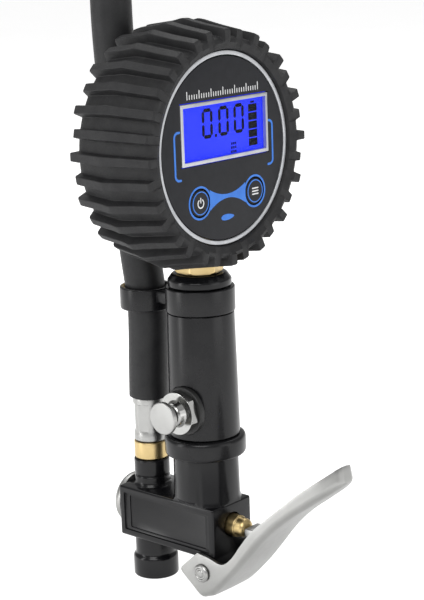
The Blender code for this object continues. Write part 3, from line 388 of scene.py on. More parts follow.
def profile_points(outline, closed):
    """A (radius, height, corner radius) outline in mm as points, with its corners rounded."""
    corners = [Vector((point[0], point[1])) for point in outline]
    rounds = [point[2] if len(point) > 2 else 0 for point in outline]
    found = []
    count = len(corners)
    for k, corner in enumerate(corners):
        inner = closed or 0 < k < count - 1
        if rounds[k] and inner:
            found += arc_corner(corners[k - 1], corner, corners[(k + 1) % count], rounds[k])
        else:
            found.append(corner)
    return found


def turned(
    name,
    outline,
    material,
    frame_of,
    nodes=(),
    body="body",
    steps=96,
    shape=None,
    sharp=SMOOTH_ANGLE,
):
    """A turned piece. An outline that starts on the axis ends on it, and any other is a loop.

    shape(angle, radius, height) gives the radius to use, where the piece isn't round.
    """
    closed = outline[0][0] > 0
    points = profile_points(outline, closed)
    bm = bmesh.new()
    rings = []
    for point in points:
        if point.x <= 0:
            rings.append([bm.verts.new((0, 0, point.y * MM))])
            continue
        ring = []
        for k in range(steps):
            angle = TAU * k / steps
            radius = shape(angle, point.x, point.y) if shape else point.x
            x, y = radius * math.cos(angle) * MM, radius * math.sin(angle) * MM
            ring.append(bm.verts.new((x, y, point.y * MM)))
        rings.append(ring)
    pairs = list(zip(rings, rings[1:]))
    if closed:
        pairs.append((rings[-1], rings[0]))
    for one, two in pairs:
        for k in range(steps):
            n = (k + 1) % steps
            if len(one) == 1 and len(two) == 1:
                break
            if len(one) == 1:
                bm.faces.new((one[0], two[k], two[n]))
            elif len(two) == 1:
                bm.faces.new((one[k], two[0], one[n]))
            else:
                bm.faces.new((one[k], two[k], two[n], one[n]))
    return piece(name, mesh_of(bm, frame_of), material, body, nodes, sharp)


def flats(flat_radius, sides, turn=0.0, *, low, high):
    """A shape for turned(): flats that far from the axis, between two heights."""
    step = TAU / sides

    def cut(angle, radius, height):
        if not low <= height <= high:
            return radius
        off = (angle - turn + step / 2) % step - step / 2
        return min(radius, flat_radius / math.cos(off))

    return cut


def hexagon(corner_radius, corner, low, high):
    """A shape for turned(): six flats, with a corner at that angle in degrees."""
    flat = corner_radius * math.cos(math.pi / 6)
    return flats(flat, 6, math.radians(corner) + math.pi / 6, low=low, high=high)


def block(size, centre, edge, segments=3, frame_of=PORT):
    """A box with rounded edges, in mm."""
    bm = bmesh.new()
    bmesh.ops.create_cube(bm, size=1)
    bmesh.ops.scale(bm, vec=Vector(size) * MM, verts=bm.verts)
    bmesh.ops.bevel(
        bm, geom=list(bm.edges), offset=edge * MM, segments=segments, profile=0.5, affect="EDGES"
    )
    bmesh.ops.translate(bm, vec=Vector(centre) * MM, verts=bm.verts)
    return mesh_of(bm, frame_of)


def add_plate(bm, outline, low, high):
    """Adds a flat shape between two heights. The outline's points are in mm."""
    bottom = [bm.verts.new((x * MM, y * MM, low * MM)) for x, y in outline]
    top = [bm.verts.new((x * MM, y * MM, high * MM)) for x, y in outline]
    bm.faces.new(bottom[::-1])
    bm.faces.new(top)
    for k in range(len(outline)):
        n = (k + 1) % len(outline)
        bm.faces.new((bottom[k], bottom[n], top[n], top[k]))


def ribbon(bm, points, width, low, high):
    """Adds a line of that width along the points, with rounded ends."""
    path = [Vector(point) for point in points]
    left, right = [], []
    for k, point in enumerate(path):
        ahead = (path[min(k + 1, len(path) - 1)] - path[max(k - 1, 0)]).normalized()
        side = Vector((-ahead.y, ahead.x)) * width / 2
        left.append(point + side)
        right.append(point - side)
    caps = []
    for end, ahead in ((path[-1], path[-1] - path[-2]), (path[0], path[0] - path[1])):
        base = math.atan2(ahead.y, ahead.x)
        caps.append(
            [
                end + Vector((math.cos(base + a), math.sin(base + a))) * width / 2
                for a in (math.pi / 4, 0, -math.pi / 4)
            ]
        )
    add_plate(bm, [*left, *caps[0], *reversed(right), *caps[1]], low, high)


def arc(centre, radius, start, end, count):
    """Points on an arc, with its angles in degrees."""
    found = []
    for k in range(count + 1):
        angle = math.radians(start + (end - start) * k / count)
        found.append((centre[0] + radius * math.cos(angle), centre[1] + radius * math.sin(angle)))
    return found


def between(a, b, c, d, t):
    """The point a share t of the way from b to c, on the Catmull-Rom curve through all four."""
    return (
        0.5 * (2 * b + (c - a) * t + (2 * a - 5 * b + 4 * c - d) * t**2)
        + 0.5 * (3 * b - a - 3 * c + d) * t**3
    )


def with_ends(points):
    """The points with one more before and after them, so that the curve reaches both ends."""
    return [2 * points[0] - points[1], *points, 2 * points[-1] - points[-2]]


def smooth_points(route, count):
    """Points at equal parameter steps on the Catmull-Rom curve through the route."""
    points = [Vector(point) for point in route]
    ends = with_ends(points)
    found = []
    for step in range(count):
        along = step * (len(points) - 1) / (count - 1)
        k = min(int(along), len(points) - 2)
        found.append(between(*ends[k : k + 4], along - k))
    return found


def wire(name, points, radius, material, rounds=3):
    """A round wire through points in metres. Its radius is in mm."""
    curve = bpy.data.curves.new(name, "CURVE")
    curve.dimensions = "3D"
    curve.bevel_depth = radius * MM
    curve.bevel_resolution = rounds
    curve.use_fill_caps = True
    spline = curve.splines.new("POLY")
    spline.points.add(len(points) - 1)
    for point, place in zip(spline.points, points):
        point.co = (*place, 1)
    spline.use_smooth = True
    curve.materials.append(material)
    return linked(name, curve)


# Hose and what is on its ends

HOSE_RADIUS = 7.0
HOSE_INSET = 0.2  # how far the rubber's surface stays inside the CAD's hose
HOSE_STEPS = 150
FERRULE_GAP = 0.3  # between the hose's end and what is crimped on it
HOSE_ROUTE = (  # from the near sleeve, up behind the gauge, over and down to the chuck
    (0.0, 0.0, 64.6),
    (0.2, -0.25, 76.0),
    (0.5, -0.55, 88.0),
    (0.5, -0.4, 99.0),
    (-0.5, 0.9, 115.0),
    (-2.0, 1.7, 134.0),
    (-3.5, 2.3, 152.0),
    (-4.8, 3.3, 170.0),
    (-5.4, 3.9, 186.0),
    (-5.3, 4.3, 200.0),
    (-0.4, 9.1, 226.0),
    (13.2, 22.4, 245.0),
    (31.8, 40.6, 252.0),
    (50.3, 58.8, 245.0),
    (63.9, 72.1, 226.0),
    (68.9, 77.0, 200.0),
    (68.9, 77.0, 186.0),
    (68.9, 77.0, 173.0),
    (68.9, 77.0, 161.0),
)


def spring(name, points, radius, node):
    """A coil spring of steel wire through the points, fixed on the body in place of that CAD node.
    """
    bent = wire(name, points, radius, STEEL)
    mesh = baked(bent)
    bpy.data.objects.remove(bent)
    coil = linked(name, mesh)
    attach(coil, "body", [node])
    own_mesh(coil)


def coil_points(frame_of, radius, low, high, turns=4, per_turn=24):
    """A helix about a frame's Z, in metres. Half a turn at each end is flat."""
    total = turns * per_turn
    found = []
    for step in range(total + 1):
        angle = TAU * step / per_turn
        share = min(1, max(0, (step - per_turn / 2) / (total - per_turn)))
        place = (radius * math.cos(angle), radius * math.sin(angle), low + share * (high - low))
        found.append(frame_of @ (Vector(place) * MM))
    return found


def add_hose():
    """The hose, and the sleeve, the chuck and its seal, which hang on its far end."""
    route = [Vector(point) * MM for point in HOSE_ROUTE]
    points = smooth_points(route, HOSE_STEPS)
    hose = wire("hose_skin", points, HOSE_RADIUS - HOSE_INSET, HOSE, rounds=8)
    attach(hose, "body", ["hose"])
    last_x, last_y, last_z = HOSE_ROUTE[-1]
    end = at(last_x, last_y, last_z - FERRULE_GAP) @ Matrix.Rotation(math.pi, 4, "X")
    ferrule = [(0, 10), (6.8, 10, 0.5), (6.8, 0, 0.5), (0, 0)]
    collar = turned(
        "chuck_ferrule_skin",
        ferrule,
        BRIGHT,
        end,
        ["chuck_ferrule"],
        steps=120,
        shape=flats(6.3, 10, low=2.0, high=8.0),
    )
    chuck = [
        (8.6, 49.3, 0.6),
        (8.6, 45.5, 0.2),
        (8.1, 45.3, 0.2),
        (8.1, 44.3, 0.2),
        (8.6, 44.1, 0.2),
        (8.6, 36.3, 0.5),
        (5.4, 33.9, 0.6),
        (5.4, 15.3, 0.3),
        (6.8, 14.9, 0.4),
        (6.8, 10.3, 0.5),
        (1.7, 10.3),
        (1.7, 40.3),
        (4.6, 40.3),
        (4.6, 49.3, 0.4),
    ]
    spanner = flats(5.9, 6, low=10.4, high=15.2)
    body = turned("air_chuck_skin", chuck, BRASS, end, ["air_chuck"], shape=spanner)
    seal = [(4.2, 43.1, 0.4), (4.2, 40.7), (1.8, 40.7), (1.8, 43.1, 0.4)]
    washer = turned("chuck_seal_skin", seal, SEAL, end, ["chuck_seal"], steps=48)


def add_hose_fitting():
    """The brass fitting in the block and the crimped sleeve on the hose's foot."""
    ring = [
        (2.9, 60.8),
        (2.9, 48.8),
        (5.8, 48.8, 0.5),
        (5.8, 42.8, 0.5),
        (3.4, 42.8),
        (3.4, 36.5),
        (1.7, 36.5),
        (1.7, 60.8),
    ]
    turned("hose_fitting_skin", ring, BRASS, PORT, ["hose_fitting"])
    ferrule = [
        (5.65, 64.3, 0.3),
        (5.65, 62.0, 0.6),
        (5.55, 61.0, 0.8),
        (5.4, 52.5, 0.8),
        (5.65, 51.0, 0.6),
        (5.65, 49.1, 0.5),
        (3.2, 49.1),
        (3.2, 64.3),
    ]
    crimps = flats(5.12, 6, math.radians(-102), low=52.2, high=62.2)
    turned(
        "hose_ferrule_skin",
        ferrule,
        CHROME,
        PORT,
        ["hose_ferrule"],
        steps=128,
        shape=crimps,
        sharp=50,
    )


# Valve body


BLOCK_SIZE = (19.2, 43.4, 17.9)
BLOCK_CENTRE = (0, -14.5, 24.25)
SIDE_PANELS = ((39.0, 13.4, 0.85), (34.8, 11.6, 1.35))  # length, height, depth
VALVE_BORE = (4.3, -9, 38)  # radius and the two ends along the frame's Z
INLET_BORE = (5.0, -1, 13)


def add_valve_body():
    """The cast block with its bores and side panels, its neck, its two bosses and its lug."""
    half = BLOCK_SIZE[0] / 2
    body = piece(
        "valve_block",
        block(BLOCK_SIZE, BLOCK_CENTRE, 0.75),
        CAST,
        "body",
        ["valve_body"],
    )
    for side in (-1, 1):
        for length, height, depth in SIDE_PANELS:
            centre = (side * half, *BLOCK_CENTRE[1:])
            cut_away(body, block((2 * depth, length, height), centre, 0.4, 2))
    cut_away(body, turned_cutter(*VALVE_BORE, VALVE))
    cut_away(body, turned_cutter(*INLET_BORE, PORT))
    neck = [
        (0, 62.0),
        (8.1, 62.0, 0.4),
        (8.1, 49.0),
        (10.9, 49.0, 0.5),
        (11.1, 34.6),
        (11.7, 33.25, 0.8),
        (11.7, 33.0),
        (0, 33.0),
    ]

    foot_top, front_top = 34.2, 34.0
    side_reach, front_reach = 9.55, 10.85

    def inside_block(angle, radius, height):
        """The neck's foot doesn't stand out of the block's sides or front."""
        reach = radius
        if height < foot_top:
            reach = min(reach, side_reach / max(TINY, abs(math.cos(angle))))
        if height < front_top and math.sin(angle) < 0:
            reach = min(reach, front_reach / max(TINY, -math.sin(angle)))
        return reach

    turned("valve_neck", neck, CAST, HANDLE, steps=160, shape=inside_block, sharp=30)
    boss = [
        (0, 42.4),
        (3.55, 42.4),
        (6.1, 42.5, 0.6),
        (6.1, 37.0, 0.1),
        (5.9, 36.6, 0.1),
        (6.1, 36.2, 0.1),
        (6.2, 34.0, 0.6),
        (7.0, 33.0),
        (0, 33.0),
    ]
    turned("hose_boss", boss, CAST, PORT)
    inlet = [
        (7.8, 0.0, 0.6),
        (5.0, 0.0, 0.3),
        (5.0, 12.9),
        (6.0, 15.6),
        (6.9, 15.6),
        (6.9, 8.0, 0.5),
        (7.8, 7.0, 0.6),
    ]
    turned("inlet_boss", inlet[::-1], CAST, PORT)
    add_lug()


def turned_cutter(radius, low, high, frame_of):
    """A round bar along a frame's Z, for a hole."""
    bm = bmesh.new()
    bmesh.ops.create_cone(
        bm,
        cap_ends=True,
        segments=64,
        radius1=radius * MM,
        radius2=radius * MM,
        depth=(high - low) * MM,
    )
    bmesh.ops.translate(bm, vec=(0, 0, (high + low) / 2 * MM), verts=bm.verts)
    return mesh_of(bm, frame_of)


def cut_away(obj, mesh):
    """Cuts a mesh out of a piece at once, so that no cutter is left in the scene."""
    cutter = linked("cutter", mesh)
    add_modifier(obj, "BOOLEAN", object=cutter, solver="EXACT")
    made = baked(obj)
    obj.modifiers.clear()
    obj.data = made
    bpy.data.objects.remove(cutter)
    obj.data.set_sharp_from_angle(angle=math.radians(CUT_ANGLE))


def add_lug():
    """The lug under the block that carries the lever's pin."""
    radius, half = 4.3, 9
    outline = [(4.4, 5.2), (-radius, 5.2), *arc((0, 0), radius, 180, 360, 24)]
    bm = bmesh.new()
    add_plate(bm, outline, -half, half)
    rims = [edge for edge in bm.edges if edge.verts[0].co.z == edge.verts[1].co.z]
    bmesh.ops.bevel(bm, geom=rims, offset=0.5 * MM, segments=3, profile=0.5, affect="EDGES")
    # The outline's x runs to -Y and its y runs up.
    turn = Matrix(((0, 0, 1, 0), (-1, 0, 0, 0), (0, 1, 0, 0), (0, 0, 0, 1)))
    piece("lever_lug", mesh_of(bm, PIVOT @ turn), CAST, "body")


def add_valve_parts():
    """The plunger, the cap at the back of its bore and the poppet's spring."""
    plunger = [
        (0, 43.6),
        (1.9, 43.4, 0.9),
        (3.1, 42.2, 0.7),
        (3.3, 39.6, 0.2),
        (3.7, 39.3, 0.2),
        (3.7, 34.4, 0.2),
        (1.6, 34.4),
        (1.6, 7.0),
        (0, 7.0),
    ]
    turned("plunger_skin", plunger, BRASS, VALVE, ["plunger"], "plunger", 72)
    cap = [
        (0, -2.2),
        (4.0, -2.2),
        (4.0, -7.5),
        (9.2, -7.5, 0.4),
        (9.2, -9.6, 1.0),
        (7.9, -11.0, 1.6),
        (3.2, -12.7, 1.4),
        (0, -12.8),
    ]
    turned("end_cap_skin", cap, CHROME, VALVE, ["valve_end_cap"])
    coil = coil_points(VALVE, 2.7, -1.5, 3.6)
    spring("poppet_spring_skin", coil, 0.33, "poppet_spring")


# Lever

# Sections across the lever, from the pin's axis: how far ahead and up its plate is, how far ahead
# and up the rim of its turned edge is, and its half width.
LEVER_SECTIONS = (
    (0.2, -9.0, -10.2, -0.8, 11.2),
    (3.4, -7.8, -1.9, 6.6, 11.2),
    (6.2, -5.2, 2.9, 6.0, 11.2),
    (9.2, -2.0, 8.8, 5.0, 11.2),
    (13.5, 2.6, 12.9, 8.1, 10.9),
    (18.5, 8.5, 16.8, 13.5, 10.6),
    (23.5, 14.6, 21.0, 18.9, 10.1),
    (28.8, 20.2, 26.3, 23.9, 9.3),
    (35.0, 25.6, 32.3, 29.2, 8.4),
    (40.8, 29.9, 38.0, 34.2, 7.6),
    (46.0, 33.8, 43.6, 38.6, 7.0),
    (49.4, 36.4, 47.6, 41.6, 6.0),
    (51.9, 38.6, 50.6, 43.8, 4.2),
    (53.1, 39.9, 52.1, 44.8, 1.9),
)
CHEEK_STEPS = (0, 0.04, 0.13, 0.3, 0.6, 0.94)  # shares of the way between the first two sections
CORNER_STEP = 0.13  # the share over which the cheek's corner is rounded
CORNER_INSET = 0.12  # how much of the cheek's depth the corner loses at the end
LEVER_STEPS = 6
SHEET = 1.2


def lever_rows():
    """The lever's sections and more between them, straight at the cheek and then on a curve."""
    sections = [Vector(section) for section in LEVER_SECTIONS]
    rows = []
    for t in CHEEK_STEPS:
        row = sections[0].lerp(sections[1], t)
        short = max(0, 1 - t / CORNER_STEP)
        inset = CORNER_INSET * (1 - math.sqrt(1 - short**2))
        row[2] += (row[0] - row[2]) * inset
        row[3] += (row[1] - row[3]) * inset
        rows.append(row)
    smooth = sections[1:]
    ends = with_ends(smooth)
    for k in range(len(smooth) - 1):
        for step in range(LEVER_STEPS):
            rows.append(between(*ends[k : k + 4], step / LEVER_STEPS))
    rows.append(smooth[-1])
    return rows


def lever_section(depth, half):
    """A section of the folded sheet, from rim to rim, as (across, away from the plate) points."""
    corner = min(2.2, half / 2.2)
    points = [(half, depth), (half, depth * 0.72), (half, max(depth * 0.45, corner + 0.2))]
    for k in range(5):
        angle = math.pi / 2 * k / 4
        points.append(
            (half - corner + corner * math.cos(angle), corner - corner * math.sin(angle))
        )
    points.append(((half - corner) * 0.5, -0.12))
    return [*points, (0, -0.18), *[(-x, y) for x, y in reversed(points)]]


def add_lever():
    """The folded sheet with its tongue, and the pin that it turns on."""
    bm = bmesh.new()
    rows = []
    for ahead, up, rim_ahead, rim_up, half in lever_rows():
        plate = Vector((0, -ahead, up))
        inward = Vector((0, -rim_ahead, rim_up)) - plate
        depth = inward.length
        inward.normalize()
        row = []
        for x, y in lever_section(depth, half):
            row.append(bm.verts.new((plate + inward * y + Vector((x, 0, 0))) * MM))
        rows.append(row)
    for one, two in zip(rows, rows[1:]):
        for k in range(len(one) - 1):
            bm.faces.new((one[k], one[k + 1], two[k + 1], two[k]))
    last = rows[-1]
    for k in range(len(last) // 2 - 1):
        bm.faces.new((last[k], last[k + 1], last[-k - 2], last[-k - 1]))
    middle = len(last) // 2
    bm.faces.new((last[middle - 1], last[middle], last[middle + 1]))
    # An open sheet has no inside, so a face in its middle tells which way they all should look.
    bmesh.ops.recalc_face_normals(bm, faces=bm.faces)
    bm.faces.ensure_lookup_table()
    probe = bm.faces[len(bm.faces) // 2]
    if (probe.calc_center_median() - Vector((0, -20, 20)) * MM).dot(probe.normal) < 0:
        bmesh.ops.reverse_faces(bm, faces=bm.faces)
    mesh = bpy.data.meshes.new("lever")
    bm.to_mesh(mesh)
    bm.free()
    mesh.transform(PIVOT)
    lever = piece("lever_skin", mesh, CHROME, "lever", ["lever"], sharp=50)
    add_modifier(lever, "SOLIDIFY", thickness=SHEET * MM, offset=-1, use_even_offset=True)
    add_modifier(lever, "BEVEL", width=0.35 * MM, segments=3, limit_method="ANGLE")
    tongue = block((7, 5.6, 3.4), (0, -15.1, 14.5), 0.6, 2, PIVOT)
    piece("lever_tongue", tongue, CHROME, "lever")
    pin = [
        (0, 12.5),
        (1.1, 12.45, 0.2),
        (1.35, 12.1, 0.1),
        (1.8, 12.1, 0.1),
        (2.1, 12.5, 0.2),
        (2.6, 12.4, 0.2),
        (3.1, 11.9, 0.2),
        (3.1, 11.5),
        (1.6, 11.5),
    ]
    mirrored = [(point[0], -point[1], *point[2:]) for point in reversed(pin)]
    turned(
        "lever_pin_skin",
        [*pin, *mirrored],
        CHROME,
        PIVOT @ CROSSWISE,
        ["lever_pin"],
        steps=64,
    )


# Handle


def add_handle():
    """The handle with the collar at its foot, its cap, and a hole for the bleed valve."""
    collar = [
        (13.6, 55.9, 1.5),
        (13.6, 49.3, 1.3),
        (8.4, 49.3),
        (8.4, 55.9, 0.3),
    ]
    turned("collar_skin", collar, GRIP, HANDLE, ["handle_collar"])
    tube = [(11.1, 97.7, 0.3), (11.8, 56.2, 0.3), (8.5, 56.2), (8.5, 97.7)]
    tube_piece = turned("handle_skin", tube, GRIP, HANDLE, ["handle_tube"], steps=128)
    for radius, low in ((8.3, 10.5), (3.9, 4)):
        cut_away(tube_piece, turned_cutter(radius, low, 24, BLEED))
    cap = [
        (9.0, 110.7, 0.5),
        (10.5, 108.7, 0.4),
        (10.5, 106.5, 0.4),
        (8.2, 106.5),
        (8.2, 92.5),
        (5.0, 92.5),
        (5.0, 110.7, 0.3),
    ]
    turned("cap_skin", cap, CAST, HANDLE, ["handle_cap"])


CLIP_X, CLIP_Y, _ = HOSE_ROUTE[3]  # where the clip holds the hose


def add_clip():
    """The band round the handle, the ring round the hose and the web between them."""
    band = [(11.5, 106.2, 0.5), (11.5, 98.0, 0.5), (8.5, 98.0), (8.5, 106.2)]
    turned("clip_band", band, GRIP, HANDLE, ["hose_clip"])
    ring = [(9.0, 103.2, 0.6), (9.0, 95.6, 0.6), (7.4, 95.6), (7.4, 103.2)]
    turned("clip_ring", ring, GRIP, at(CLIP_X, CLIP_Y, 0))
    web = block((6.8, 8.0, 4.3), (0, -11.4, 100.6), 0.8)
    piece("clip_web", web, GRIP, "body")


def add_bleed_valve():
    """The washer, the nut and the push button on the handle's side, and the button's spring."""
    washer = [(8.0, 12.6, 0.5), (8.0, 10.8, 0.3), (3.9, 10.8), (3.9, 12.6)]
    turned("bleed_washer_skin", washer, SEAL, BLEED, ["bleed_washer"], steps=72)
    nut = [
        (7.0, 15.9, 0.1),
        (7.4, 15.3, 0.2),
        (7.4, 13.4, 0.2),
        (6.9, 12.9, 0.1),
        (3.6, 12.9),
        (3.6, 9.0, 0.3),
        (1.5, 9.0),
        (1.5, 14.1),
        (2.9, 14.1),
        (2.9, 18.6, 0.2),
        (3.4, 18.6, 0.3),
        (3.9, 18.0, 0.3),
        (4.3, 16.6, 0.4),
        (4.6, 15.9),
    ]
    turned(
        "bleed_nut_skin",
        nut,
        BRIGHT,
        BLEED,
        ["bleed_nut"],
        steps=120,
        shape=hexagon(7.4, 12, 12.7, 15.85),
        sharp=25,
    )
    button = [
        (0, 22.6),
        (5.4, 22.6, 0.5),
        (5.4, 21.0, 0.4),
        (1.4, 21.0),
        (1.4, 8.3),
        (2.6, 8.1, 0.1),
        (2.6, 6.9, 0.2),
        (0, 6.9),
    ]
    turned("bleed_button_skin", button, CHROME, BLEED, ["bleed_button"], "bleed_button")
    coil = coil_points(BLEED, 2.2, 14.7, 20.4)
    spring("bleed_spring_skin", coil, 0.28, "bleed_spring")


# Gauge

RIBS = 32
RIB_FRONT, RIB_BACK = 15.6, -18.4
SHORTER = 1.3  # how much a short rib loses at each end
RIB_ACROSS = (  # degrees off a rib's middle, and the share of the rib's height there
    (-5.6, 0.0),
    (-4.2, 0.0),
    (-2.95, 0.0),
    (-2.6, 0.06),
    (-2.3, 0.5),
    (-2.05, 0.94),
    (-1.8, 1.0),
    (0.0, 1.0),
    (1.8, 1.0),
    (2.05, 0.94),
    (2.3, 0.5),
    (2.6, 0.06),
    (2.95, 0.0),
    (4.2, 0.0),
)


def boot_profiles():
    """The boot's (radius, z) section between its ribs, along a long rib and along a short one."""
    groove = [
        (31.0, 13.2),
        (31.3, 13.9),
        (33.2, 14.9),
        (33.9, 14.7),
        (34.4, 14.4),
        (34.9, 13.6),
        (35.3, 11.5),
        (36.2, 6.0),
        (36.9, 1.5),
        (37.35, -1.8),
        (37.4, -3.2),
        (37.0, -6.0),
        (36.3, -10.5),
        (35.6, -14.6),
        (35.2, -16.4),
        (34.7, -17.2),
        (33.8, -17.6),
        (27.3, -17.6),
        (27.0, -17.2),
        (27.0, -14.5),
        (33.4, -14.5),
        (33.4, 12.0),
        (31.0, 12.0),
    ]

    def rib(shorter):
        front, back = RIB_FRONT - shorter, RIB_BACK + shorter
        return [
            (31.0, 13.2),
            (31.3, 13.9),
            (33.2, min(14.9, front)),
            (33.9, front - 0.1),
            (36.9, front),
            (37.45, front - 0.5),
            (37.75, front - 2.2),
            (38.8, 6.0),
            (39.7, 1.5),
            (40.4, -1.8),
            (40.4, -3.0),
            (39.7, -6.0),
            (39.1, -10.5),
            (38.3, back + 1.8),
            (38.0, back + 0.5),
            (37.4, back),
            (33.8, back + 0.05),
            (27.3, -17.6),
            (27.0, -17.2),
            (27.0, -14.5),
            (33.4, -14.5),
            (33.4, 12.0),
            (31.0, 12.0),
        ]

    return groove, rib(0.0), rib(SHORTER)


def add_boot():
    """The ribbed rubber boot, with long and short ribs in turn, and the stem's way through it."""
    groove, long_rib, short_rib = (
        [Vector(point) for point in section] for section in boot_profiles()
    )
    bm = bmesh.new()
    columns = []
    for k in range(RIBS):
        rib = short_rib if k % 2 else long_rib
        for off, share in RIB_ACROSS:
            angle = math.radians(90 + 360 / RIBS * k + off)
            column = []
            for low, high in zip(groove, rib):
                point = low.lerp(high, share)
                x, y = point.x * math.cos(angle) * MM, point.x * math.sin(angle) * MM
                column.append(bm.verts.new((x, y, point.y * MM)))
            columns.append(column)
    for k, one in enumerate(columns):
        two = columns[(k + 1) % len(columns)]
        for n in range(len(one)):
            m = (n + 1) % len(one)
            bm.faces.new((one[n], one[m], two[m], two[n]))
    mesh = mesh_of(bm, HEAD)
    boot = piece("boot_skin", mesh, RUBBER, "body", ["gauge_boot"], sharp=28)
    cut_away(boot, turned_cutter(8.9, -60, -22, HEAD @ Matrix.Rotation(-math.pi / 2, 4, "X")))


def add_stem():
    """The brass hexagon and pipe between the handle and the gauge."""
    stem = [
        (4.9, 125.0, 0.4),
        (4.9, 115.9),
        (7.6, 115.9, 0.2),
        (8.1, 115.2, 0.2),
        (8.1, 111.7, 0.2),
        (7.6, 111.0, 0.2),
        (4.9, 111.0),
        (4.9, 91.5),
        (1.7, 91.5),
        (1.7, 125.0),
    ]
    turned(
        "stem_skin",
        stem,
        BRASS,
        HANDLE,
        ["gauge_stem"],
        steps=120,
        shape=hexagon(8.1, 20, 110.9, 116.0),
        sharp=25,
    )


def add_case():
    """The gauge's case, its battery door and the lines to grip the door by."""
    cup = [
        (0, -14.0),
        (33.0, -14.0, 0.6),
        (33.0, 11.7, 0.2),
        (31.0, 11.7),
        (31.0, -12.0, 0.4),
        (0, -12.0),
    ]
    turned("case_skin", cup, CASE, HEAD, ["gauge_case"])
    door = block((43.9, 27.9, 1.2), (0, 0, -13.9), 0.45, 2, HEAD)
    piece("battery_door_skin", door, CASE, "body", ["battery_door"])
    lines, gap, half = 5, 1.5, 4
    for side in (-1, 1):
        grip = bmesh.new()
        for k in range(lines):
            x = side * 17 + (k - lines // 2) * gap
            ribbon(grip, [(x, -half), (x, half)], 0.7, -14.75, -14.4)
        piece(f"door_grip{side}", mesh_of(grip, HEAD), CASE, "body")


SCREEN_X, SCREEN_Y = 0.7, 6.0
BUTTONS = {"on": (-12.4, -15.7), "function": (14.0, -15.6)}


def add_face():
    """The silver ring, the panel with its openings, and the screen's rim."""
    ring = [(30.7, 12.9, 0.3), (30.7, 12.1), (29.3, 12.1), (29.3, 12.9, 0.3)]
    turned("bezel_skin", ring, SILVER, HEAD, ["bezel_ring"], steps=192)
    face = [(0, 12.7), (29.0, 12.7, 0.2), (29.0, 11.7), (0, 11.7)]
    panel = turned("panel_skin", face, PANEL, HEAD, ["face_panel"], steps=160)
    cut_away(panel, block((42.2, 19.8, 6), (SCREEN_X, SCREEN_Y, 12.2), 0.2, 2, HEAD))
    for x, y in BUTTONS.values():
        cut_away(panel, turned_cutter(4.6, 10, 14, HEAD @ at(x, y, 0)))
    rim = piece(
        "screen_frame_skin",
        block((41.6, 19.2, 1.2), (SCREEN_X, SCREEN_Y, 12.3), 0.25, 2, HEAD),
        SILVER,
        "body",
        ["screen_frame"],
    )
    cut_away(rim, block((39.3, 16.9, 4), (SCREEN_X, SCREEN_Y, 12.3), 0.2, 2, HEAD))


PRINT = (12.66, 12.76)  # the heights between which the panel's print lies
RING_RADII = (5.35, 4.72)
BRACKETS = ((-1, -23.2, 7.4, -7.4), (1, 23.6, 6.4, -7.8))  # side, x, upper y, lower y
MARKS, MARKS_HALF, MARKS_Y = 31, 16.8, 17.0


def add_blue_print():
    """The buttons' rings with the waist between them, the brackets and the drop."""
    low, high = PRINT
    blue = bmesh.new()
    for place in BUTTONS.values():
        outer, inner = (arc(place, radius, 0, 360, 64)[:-1] for radius in RING_RADII)
        ring_shape(blue, outer, inner, low, high)
    left, right = BUTTONS["on"], BUTTONS["function"]
    span = right[0] - left[0]
    top, bottom = [], []
    for k in range(25):
        t = k / 24
        x = left[0] + 4.6 + t * (span - 9.2)
        pinch = (2 * t - 1) ** 2
        mid = left[1] + t * (right[1] - left[1])
        top.append((x, mid + 1.1 + 2.4 * pinch))
        bottom.append((x, mid - 0.2 - 2.9 * pinch))
    add_plate(blue, [*bottom, *reversed(top)], low, high - 0.01)
    bend, foot = 1.6, 2.4
    for side, x, upper, lower in BRACKETS:
        back = 90 - 90 * side
        turn = arc((x - side * bend, upper - bend), bend, 90, back, 6)
        end = arc((x - side * bend, lower + bend), bend, back, -90 if side > 0 else 270, 6)
        path = [(x - side * foot, upper), (x - side * bend, upper), *turn[1:], *end]
        ribbon(blue, [*path, (x - side * foot, lower)], 0.75, low, high)
    drop = [
        (0.4 + 3.1 * math.cos(a), -22.0 + 0.95 * math.sin(a) * (1 - 0.25 * math.cos(a)))
        for a in (TAU * k / 40 for k in range(40))
    ]
    add_plate(blue, drop, low, high)
    piece("blue_marks", mesh_of(blue, HEAD), BLUE_INK, "body", sharp=INK_ANGLE)


def add_scale_marks():
    """A row of plain marks, with a tall one at every fifth, where the photo has a title."""
    white = bmesh.new()
    for k in range(MARKS):
        x = -MARKS_HALF + 2 * MARKS_HALF * k / (MARKS - 1)
        tall = 2.3 if k % 5 == 0 else 1.2
        ribbon(white, [(x, MARKS_Y), (x, MARKS_Y + tall)], 0.32, *PRINT)
    piece("scale_marks", mesh_of(white, HEAD), WHITE_INK, "body", sharp=INK_ANGLE)


def ring_shape(bm, outer, inner, low, high):
    """Adds a flat ring between two outlines of as many points."""
    count = len(outer)
    rows = [
        [bm.verts.new((x * MM, y * MM, z * MM)) for x, y in outline]
        for outline, z in ((outer, low), (outer, high), (inner, high), (inner, low))
    ]
    for k in range(4):
        one, two = rows[k], rows[(k + 1) % 4]
        for n in range(count):
            m = (n + 1) % count
            bm.faces.new((one[n], one[m], two[m], two[n]))


